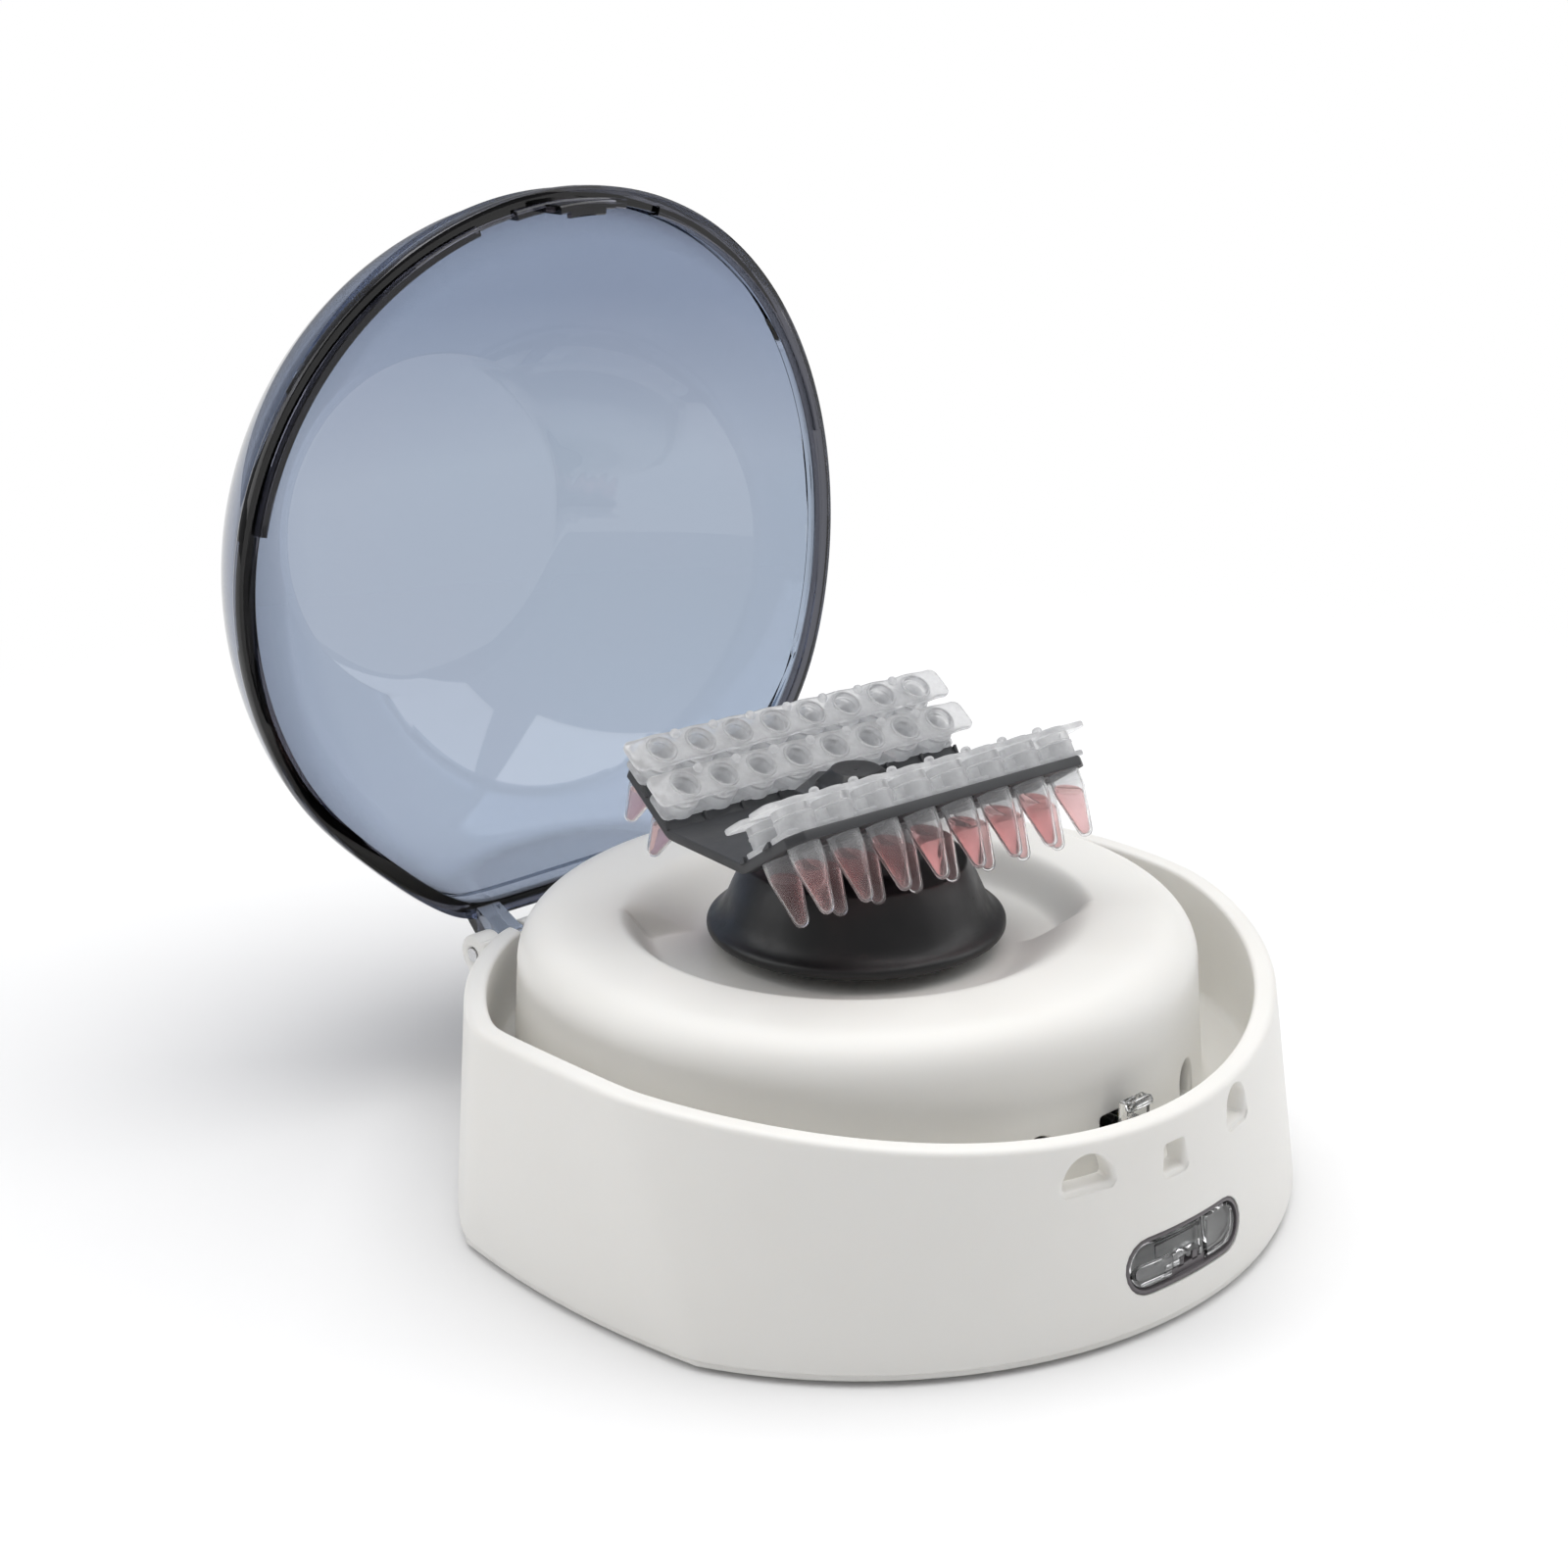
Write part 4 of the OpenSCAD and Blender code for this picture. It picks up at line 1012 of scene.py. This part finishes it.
# corner radius, height above the boss, roundness (0 = hexagon, 1 = circle)
KNOB = [
    (7.6, 0.02, 1.0), (8.25, 0.2, 1.0), (8.25, 1.0, 1.0), (8.05, 1.25, 1.0), (7.85, 1.4, 0.45),
    (7.7, 1.62, 0.12), (7.1, 2.2, 0.10), (6.1, 3.1, 0.22), (5.4, 3.62, 0.55), (5.15, 3.78, 0.9),
    (4.9, 3.80, 1.0), (3.6, 3.64, 1.0), (1.9, 3.52, 1.0), (0.55, 3.48, 1.0), (0.42, 3.2, 1.0),
]


def hex_ring(corner, z, roundness):
    ring = []
    for k in range(48):
        a = 2 * math.pi * k / 48
        from_flat = ((a * 6 / (2 * math.pi)) % 1.0 - 0.5) * 2 * math.pi / 6
        flat = corner * math.cos(math.pi / 6) / math.cos(from_flat)
        r = flat * (1 - roundness) + corner * 0.94 * roundness
        ring.append((*polar(r, a + math.radians(30)), z))
    return ring


knob = loft([hex_ring(r, PLATE_Z + BOSS_H + up, roundness) for r, up, roundness in KNOB],
            "rotor_knob_v")
finish_piece(move(knob, TURNED), "black", ride="rotor", sharp=26,
             replaces="rotor_knob")

# ---------------------------------------------------------------- tube strips, caps, samples
SEG = 36
# radius, z from the wing face: outside from the tip up to the collar, then the inside back down
TUBE = [
    (0, -15.05), (0.45, -14.98), (0.85, -14.78), (1.18, -14.42), (1.42, -13.9), (2.2, -9.9),
    (3.08, -5.4), (3.13, -3.0), (3.16, -0.2), (3.22, 0.12), (3.6, 0.14), (3.72, 0.26),
    (3.72, 2.9), (3.86, 3.05), (3.86, 3.45), (3.74, 3.6), (3.0, 3.6), (2.88, 3.45), (2.82, 1.0),
    (2.78, -2.5), (2.70, -5.5), (1.9, -9.4), (1.06, -13.5), (0.8, -14.1), (0.45, -14.4),
    (0, -14.5),
]
# radius, z: plug, outer wall, flat top with a stepped cup in it
CAP = [
    (0, 1.9), (2.3, 1.85), (2.55, 1.65), (2.72, 1.9), (2.76, 2.6), (2.74, 3.62), (3.5, 3.66),
    (3.7, 3.82), (3.7, 5.15), (3.6, 5.3), (3.2, 5.3), (3.15, 5.45), (3.15, 6.5), (3.05, 6.66),
    (2.85, 6.72), (2.68, 6.68), (2.55, 6.5), (2.46, 6.1), (2.42, 5.5), (2.2, 5.36), (2.12, 5.1),
    (2.08, 4.6), (1.9, 4.46), (1.82, 4.2), (1.76, 3.3), (1.5, 3.05), (0, 3.0),
]
# radius, z: liquid filling the inside of the tube, before it is trimmed level
SAMPLE = [
    (0, -14.44), (0.44, -14.33), (0.76, -14.03), (1.0, -13.45), (1.85, -9.38), (2.64, -5.6),
    (2.70, -4.6), (2.72, -3.4), (2.73, -1.2), (0, -1.2),
]
# radius, z: small domed knob between two caps
NUB = [(0, 6.1), (0.95, 6.1), (1.0, 6.3), (0.95, 6.9), (0.7, 7.25), (0.35, 7.38), (0, 7.4)]
TUBE_XS = [i * PITCH - HALF_ROW for i in range(TUBES)]
GAP_XS = [x + PITCH / 2 for x in TUBE_XS[:-1]]


def web(outline, z0, z1):
    """Flat strip with chamfered edges."""
    stations = ((offset_ring(outline, -0.14), z0), (outline, z0 + 0.16), (outline, z1 - 0.2),
                (offset_ring(outline, -0.2), z1))
    return loft([[(x, y, z) for x, y in ring] for ring, z in stations])


def tube_strip(name):
    """Eight tubes, the rail under their collars and a short rib in each gap."""
    parts = [move(revolve(TUBE, SEG), shift(x, 0, 0)) for x in TUBE_XS]
    parts.append(web(round_rect(2 * HALF_ROW + 9.2, 6.3, 1.2, 4), 0.07, 1.05))
    parts += [prism("x", round_rect(0.9, 2.2, 0.2, 2, 2.2, 2.1), x - 1.2, x + 1.2)
              for x in GAP_XS]
    strip = join(parts, name)
    # frosting "mk": full in the collars, light where the wall is drawn thin
    z = vertex_coords(strip.data)[:, 2] / MM
    body = np.where(z > -4.6, 0.50, 0.50 - 0.36 * smoothstep((-4.6 - z) / 1.6))
    frost = np.where(z < -13.6, 0.3, np.where(z > -0.3, 1.0, body))
    add_attribute(strip.data, "mk", frost)
    return strip


def cap_web():
    """Strip joining the caps: scalloped long edges, cut out round each cup."""
    def half_width(x):
        return 3.74 - 0.28 * math.sin(math.pi * (x + HALF_ROW) / PITCH) ** 2

    r, steps = 1.5, 84
    end = HALF_ROW + 7.2 - r
    xs = [-end + 2 * end * j / steps for j in range(steps + 1)]
    y_left, y_right = half_width(xs[0]) - r, half_width(xs[-1]) - r
    outline = ([(x, -half_width(x)) for x in xs]
               + arc(r, 300, 360, 2, end, -y_right) + arc(r, 0, 60, 2, end, y_right)
               + [(x, half_width(x)) for x in xs[::-1]]
               + arc(r, 120, 180, 2, -end, y_left) + arc(r, 180, 240, 2, -end, -y_left))
    strip = web(outline, 5.35, 6.45)
    boolean(strip, join([move(cylinder(3.2, 5, 7, SEG), shift(x, 0, 0)) for x in TUBE_XS]))
    return strip


def cap_strip(name):
    parts = [move(revolve(CAP, SEG), shift(x, 0, 0) @ turn(0.1 * i))
             for i, x in enumerate(TUBE_XS)]
    parts.append(cap_web())
    parts += [move(revolve(NUB, 18), shift(x, 2.6, 0)) for x in GAP_XS]
    return join(parts, name)


def trim_level(ob, level):
    """Cut the liquid level with the ground and dish its surface slightly."""
    up = Vector((0, math.sin(WING), math.cos(WING)))    # world up, seen from the wing frame
    bm = bmesh.new()
    bm.from_mesh(ob.data)
    bmesh.ops.bisect_plane(bm, geom=bm.verts[:] + bm.edges[:] + bm.faces[:],
                           plane_co=Vector((0, 0, level)) * MM, plane_no=up, clear_outer=True)
    rim = [e for e in bm.edges if e.is_boundary]
    surface = bmesh.ops.holes_fill(bm, edges=rim, sides=0)["faces"]
    bmesh.ops.inset_region(bm, faces=surface, thickness=0.28 * MM, depth=-0.16 * MM,
                           use_even_offset=False)
    bm.to_mesh(ob.data)
    bm.free()


def samples(name, k):
    parts = []
    for i, x in enumerate(TUBE_XS):
        part = revolve(SAMPLE, SEG)
        trim_level(part, -5.5 + 0.3 * math.sin(1.7 * i + 2.1 * k))
        parts.append(move(part, shift(x, 0, 0)))
    return join(parts, name)


for k in range(4):
    place = wing_frame(1 if k < 2 else -1) @ shift(0, ROWS[k % 2], 0)
    number = k + 1
    pieces = ((tube_strip(f"tube_strip_v{number}"), "tube", "tube_strip", "frosted"),
              (cap_strip(f"cap_strip_v{number}"), "cap", "cap_strip", "frosted"),
              (samples(f"sample_v{number}", k), "sample", "sample", "sample"))
    for ob, material, node, slot in pieces:
        finish_piece(move(ob, place), material, ride="rotor", sharp=50,
                     replaces=f"{node}_{number}")


# ---------------------------------------------------------------- release button and bezel
def front_y(x, z, depth=0.0):
    """y on the front wall, at a depth behind its surface."""
    radius = plain_wall_radius(z) - depth
    return -math.sqrt(radius * radius - x * x)


def slot_solid(size, layers, x_low=None, x_high=None, zc=BUTTON_Z, nx=40, nz=10):
    """Stadium-shaped solid that follows the front wall, gridded front and back.

    layers are (depth, shrink) from front to back; x_low and x_high cut the shape short.
    """
    w, h = size
    verts, faces, grids = [], [], []
    for depth, shrink in layers:
        end, r = w / 2 - shrink, h / 2 - shrink
        straight = end - r
        low = -end if x_low is None else x_low + shrink
        high = end if x_high is None else x_high - shrink
        grid = []
        for k in range(nx + 1):
            # columns crowd towards the ends
            x = low + (high - low) * (math.sin((-1 + 2 * k / nx) * math.pi / 2) + 1) / 2
            half = r
            if abs(x) > straight:
                half = math.sqrt(max(0.0, r * r - (abs(x) - straight) ** 2))
            grid.append(list(range(len(verts), len(verts) + nz + 1)))
            for j in range(nz + 1):
                z = zc + half * (-1 + 2 * j / nz)
                verts.append((x, front_y(x, z, depth), z))
        grids.append(grid)
    first, last = grids[0], grids[-1]
    for k in range(nx):
        for j in range(nz):
            faces.append((first[k][j], first[k + 1][j], first[k + 1][j + 1], first[k][j + 1]))
            faces.append((last[k][j], last[k][j + 1], last[k + 1][j + 1], last[k + 1][j]))
    for a, b in zip(grids, grids[1:]):
        for k in range(nx):
            faces.append((a[k][0], b[k][0], b[k + 1][0], a[k + 1][0]))
            faces.append((a[k][nz], a[k + 1][nz], b[k + 1][nz], b[k][nz]))
        for j in range(nz):
            faces.append((a[0][j], a[0][j + 1], b[0][j + 1], b[0][j]))
            faces.append((a[nx][j], b[nx][j], b[nx][j + 1], a[nx][j + 1]))
    ob = new_object(verts, faces, True)
    # the end columns shrink to a point
    bm = bmesh.new()
    bm.from_mesh(ob.data)
    bmesh.ops.remove_doubles(bm, verts=bm.verts, dist=1e-7)
    bmesh.ops.dissolve_degenerate(bm, edges=bm.edges, dist=1e-7)
    bmesh.ops.recalc_face_normals(bm, faces=bm.faces)
    bm.to_mesh(ob.data)
    bm.free()
    return ob


def button_bezel():
    """Dish lining the slot, with a two-pronged tab at the middle of its lower edge."""
    dish = slot_solid(BEZEL, [(0.12, 0.25), (0.3, 0.0), (6.2, 0.0)])
    boolean(dish, slot_solid(DISH, [(-2, 0), (3.9, 0)]))
    # x range, z range from the button centre
    tab = [box(x0, x1, -84.9, -81.4, BUTTON_Z + z0, BUTTON_Z + z1)
           for x0, x1, z0, z1 in ((-4.6, 4.6, -4.7, -2.9), (-2.6, -1.2, -3.2, -1.2),
                                  (1.2, 2.6, -3.2, -1.2))]
    bezel = join([dish] + tab, "button_bezel_v")
    bevel(bezel, width=0.15, segments=2, angle=50)
    return bezel


def raised_pill():
    """Raised bar on the left facet, slid sideways along the curved wall."""
    pill = slot_solid((12.2, 2.6), [(-0.05, 0.35), (0.1, 0.1), (0.5, 0.0), (1.2, 0.0)],
                      zc=BUTTON_Z - 1.0, nx=24, nz=8)
    for v in pill.data.vertices:
        x, y, z = v.co / MM
        moved_x = x - 7.6
        v.co = Vector((moved_x, front_y(moved_x, z) + (y - front_y(x, z)), z)) * MM
    return pill


def latch_button():
    """Clear button in two facets, and the arm behind it that ends in a hook."""
    left = slot_solid(BUTTON, [(0.25, 0.55), (0.4, 0.25), (0.75, 0.05), (3.0, 0.0), (3.3, 0.1)],
                      x_high=4.25)
    right = slot_solid(BUTTON, [(0.25, 0.5), (0.5, 0.2), (0.8, 0.05), (3.0, 0.0), (3.3, 0.1)],
                       x_low=4.45)
    # pockets clear the bezel's tab
    for facet in (left, right):
        boolean(facet, box(-4.95, 4.95, -90, -82.4, BUTTON_Z - 5, BUTTON_Z - 2.5))
    boolean(left, box(-3.0, 3.0, -90, -82.4, BUTTON_Z - 5, BUTTON_Z - 0.9))
    peg = revolve([(0, 0), (0.62, 0.05), (0.72, 0.25), (0.72, 3.3), (0, 3.3)], 24)
    move(peg, shift(0, -85.0, BUTTON_Z - 1.4) @ turn(math.radians(-90), "X"))
    hook = [(-73.2, 36.2), (-71.9, 36.2), (-71.9, 37.75), (-72.6, 37.75), (-73.2, 37.0)]
    arm = [box(-7, 7, -82.0, -58, BUTTON_Z - 2.4, BUTTON_Z + 1.8),      # bar going inward
           box(-7, 7, -62.2, -58, BUTTON_Z - 2.4, 34.6),                # upright
           box(-3.6, 3.6, -71.4, -61, 27.4, 32.0),                      # arm back outward
           box(-3.2, 3.2, -72.4, -70.4, 27.4, 37.6),                    # riser
           prism("x", hook, -3.2, 3.2)]
    for part in arm:
        bevel(part, width=0.25, segments=2, angle=40)
    return join([left, right, raised_pill(), peg] + arm, "latch_button_v")


finish_piece(button_bezel(), "bezel", ride="base", sharp=40,
             replaces="button_bezel")
finish_piece(latch_button(), "clear", ride="latch", sharp=35,
             replaces="latch_button")

# ---------------------------------------------------------------- materials of the CAD pieces
cad_slots = {d["node"]: d["material_slot"] for d in frame["record"]["subparts"]}
for node, ob in frame["nodes"].items():
    key = cad_slots.get(node, "black")
    key = "tube" if key == "frosted" else key
    for material_slot in ob.material_slots:
        material_slot.material = MATERIALS.get(key, MATERIALS["black"])


# ---------------------------------------------------------------- floor and world
def floor_material():
    """Pale floor that runs into a plain white backdrop further out."""
    material, n = new_material("floor_pale")
    co = n.coords()
    color = n.ramp(n.noise(co, scale=3.0, detail=2, rough=0.5),
                   [(0.3, (0.905, 0.905, 0.91)), (0.7, (0.92, 0.92, 0.92))])
    near = n.add("BsdfPrincipled", {"Base Color": color, "Roughness": 0.7,
                                    "Specular IOR Level": 0.12}).outputs[0]
    far = n.add("Emission", {"Strength": 1.0}).outputs[0]
    fade = n.map_range(n.radius(co), source=(0.16, 0.48), target=(0, 1),
                       interpolation="SMOOTHSTEP")
    n.output(n.mix_shader(fade, near, far))
    return material


FLOOR_HALF = 8      # metres
floor_mesh = bpy.data.meshes.new("floor")
floor_mesh.from_pydata([(x * FLOOR_HALF, y * FLOOR_HALF, 0)
                        for x, y in ((-1, -1), (1, -1), (1, 1), (-1, 1))], [], [(0, 1, 2, 3)])
floor_mesh.update()
floor = link_object(floor_mesh, "floor")
floor_mesh.materials.append(floor_material())


def make_world():
    """White to the camera and through clear parts, a soft grey gradient for lighting."""
    world = bpy.data.worlds.new("studio")
    SCENE.world = world
    world.use_nodes = True
    n = Nodes(world.node_tree, "OutputWorld")
    direction = n.add("TexCoord").outputs["Generated"]
    height = n.add("SeparateXYZ", {"Vector": direction}).outputs["Z"]
    gradient = n.ramp(n.map_range(height, source=(-0.2, 1.0), target=(0, 1)),
                      [(0.0, (0.62, 0.62, 0.63)), (0.35, (0.42, 0.425, 0.44)),
                       (1.0, (0.80, 0.80, 0.81))])
    light = n.add("Background", {"Color": gradient, "Strength": 0.55}).outputs[0]
    white = n.add("Background", {"Color": (1, 1, 1, 1), "Strength": 1.0}).outputs[0]
    rays = n.add("LightPath").outputs
    seen = n.math("MAXIMUM", rays["Is Camera Ray"], rays["Is Transmission Ray"])
    n.output(n.mix_shader(seen, light, white))


make_world()

# ---------------------------------------------------------------- lights and camera
CAMERA_TURN = math.radians(-44.0)       # camera direction about Z, from the front
LIGHT_TARGET = (0, 0, 0.05)
# name, degrees from the camera's side (positive to its right), elevation in degrees,
# then in metres distance, width, height, and last the radiance
LIGHTS = [
    ("top", 180, 80, 1.25, 1.5, 1.5, 2.15),
    ("left", -84, 34, 1.2, 0.8, 1.0, 1.35),
    ("right", 98, 30, 1.2, 0.7, 1.0, 1.5),
]


def softbox(name, azimuth, elevation, distance, width, height, radiance):
    a, e = math.radians(azimuth), math.radians(elevation)
    right = math.sin(a) * math.cos(e) * distance
    toward = math.cos(a) * math.cos(e) * distance
    cos, sin = math.cos(CAMERA_TURN), math.sin(CAMERA_TURN)
    tx, ty, tz = LIGHT_TARGET
    location = (right * cos + toward * sin + tx, right * sin - toward * cos + ty,
                math.sin(e) * distance + tz)
    light = bpy.data.lights.new(name, "AREA")
    light.shape = "RECTANGLE"
    light.size = width
    light.size_y = height
    light.energy = radiance * math.pi * width * height
    ob = link_object(light, name)
    ob.location = location
    aim = Vector(LIGHT_TARGET) - Vector(location)
    ob.rotation_euler = aim.to_track_quat("-Z", "Y").to_euler()


for light_row in LIGHTS:
    softbox(*light_row)

ELEVATION, ROLL = math.radians(22.79), math.radians(0.13)
TARGET_Z, CAMERA_DISTANCE = 45.0, 509.68    # mm
LENS, SENSOR = 59.2677, 36.0                # mm
TARGET_ON_SENSOR = (1.6596, -3.7791)        # mm right of and above the picture's centre


def turn_z(angle):
    cos, sin = math.cos(angle), math.sin(angle)
    return np.array([[cos, -sin, 0], [sin, cos, 0], [0, 0, 1]])


def make_camera():
    back = np.array([0, -math.cos(ELEVATION), math.sin(ELEVATION)])
    location = np.array([0, 0, TARGET_Z]) + back * CAMERA_DISTANCE
    right = np.array([1.0, 0, 0])
    # rows: right, up, forward
    view = np.stack([right, np.cross(right, -back), -back])
    # swing the view so that the target leaves the centre of the picture
    off = np.array([TARGET_ON_SENSOR[0] / LENS, TARGET_ON_SENSOR[1] / LENS, 1.0])
    off /= np.linalg.norm(off)
    v = np.cross([0, 0, 1.0], off)
    skew = np.array([[0, -v[2], v[1]], [v[2], 0, -v[0]], [-v[1], v[0], 0]])
    swing = np.eye(3) + skew + skew @ skew / (1 + off[2])
    view = swing @ turn_z(ROLL) @ view
    around = turn_z(CAMERA_TURN)
    pose = np.eye(4)
    pose[:3, :3] = around @ view.T @ np.diag([1, 1, -1])
    pose[:3, 3] = around @ location * MM
    camera = bpy.data.cameras.new("cam")
    camera.lens = LENS
    camera.sensor_width = SENSOR
    camera.sensor_fit = "HORIZONTAL"
    camera.clip_start = 0.01
    camera.clip_end = 50
    ob = link_object(camera, "cam")
    ob.matrix_world = Matrix(pose.tolist())
    SCENE.camera = ob


make_camera()

# ---------------------------------------------------------------- render settings
SCENE.view_settings.view_transform = "Standard"
SCENE.view_settings.look = "None"
SCENE.view_settings.exposure = 0.0
CYCLES = {
    "use_denoising": True,
    "max_bounces": 16,
    "transmission_bounces": 14,
    "transparent_max_bounces": 24,
    "glossy_bounces": 6,
    "diffuse_bounces": 5,
    "caustics_refractive": False,
    "caustics_reflective": False,
    "sample_clamp_indirect": 6.0,
    "seed": 3,
}
for key, value in CYCLES.items():
    setattr(SCENE.cycles, key, value)
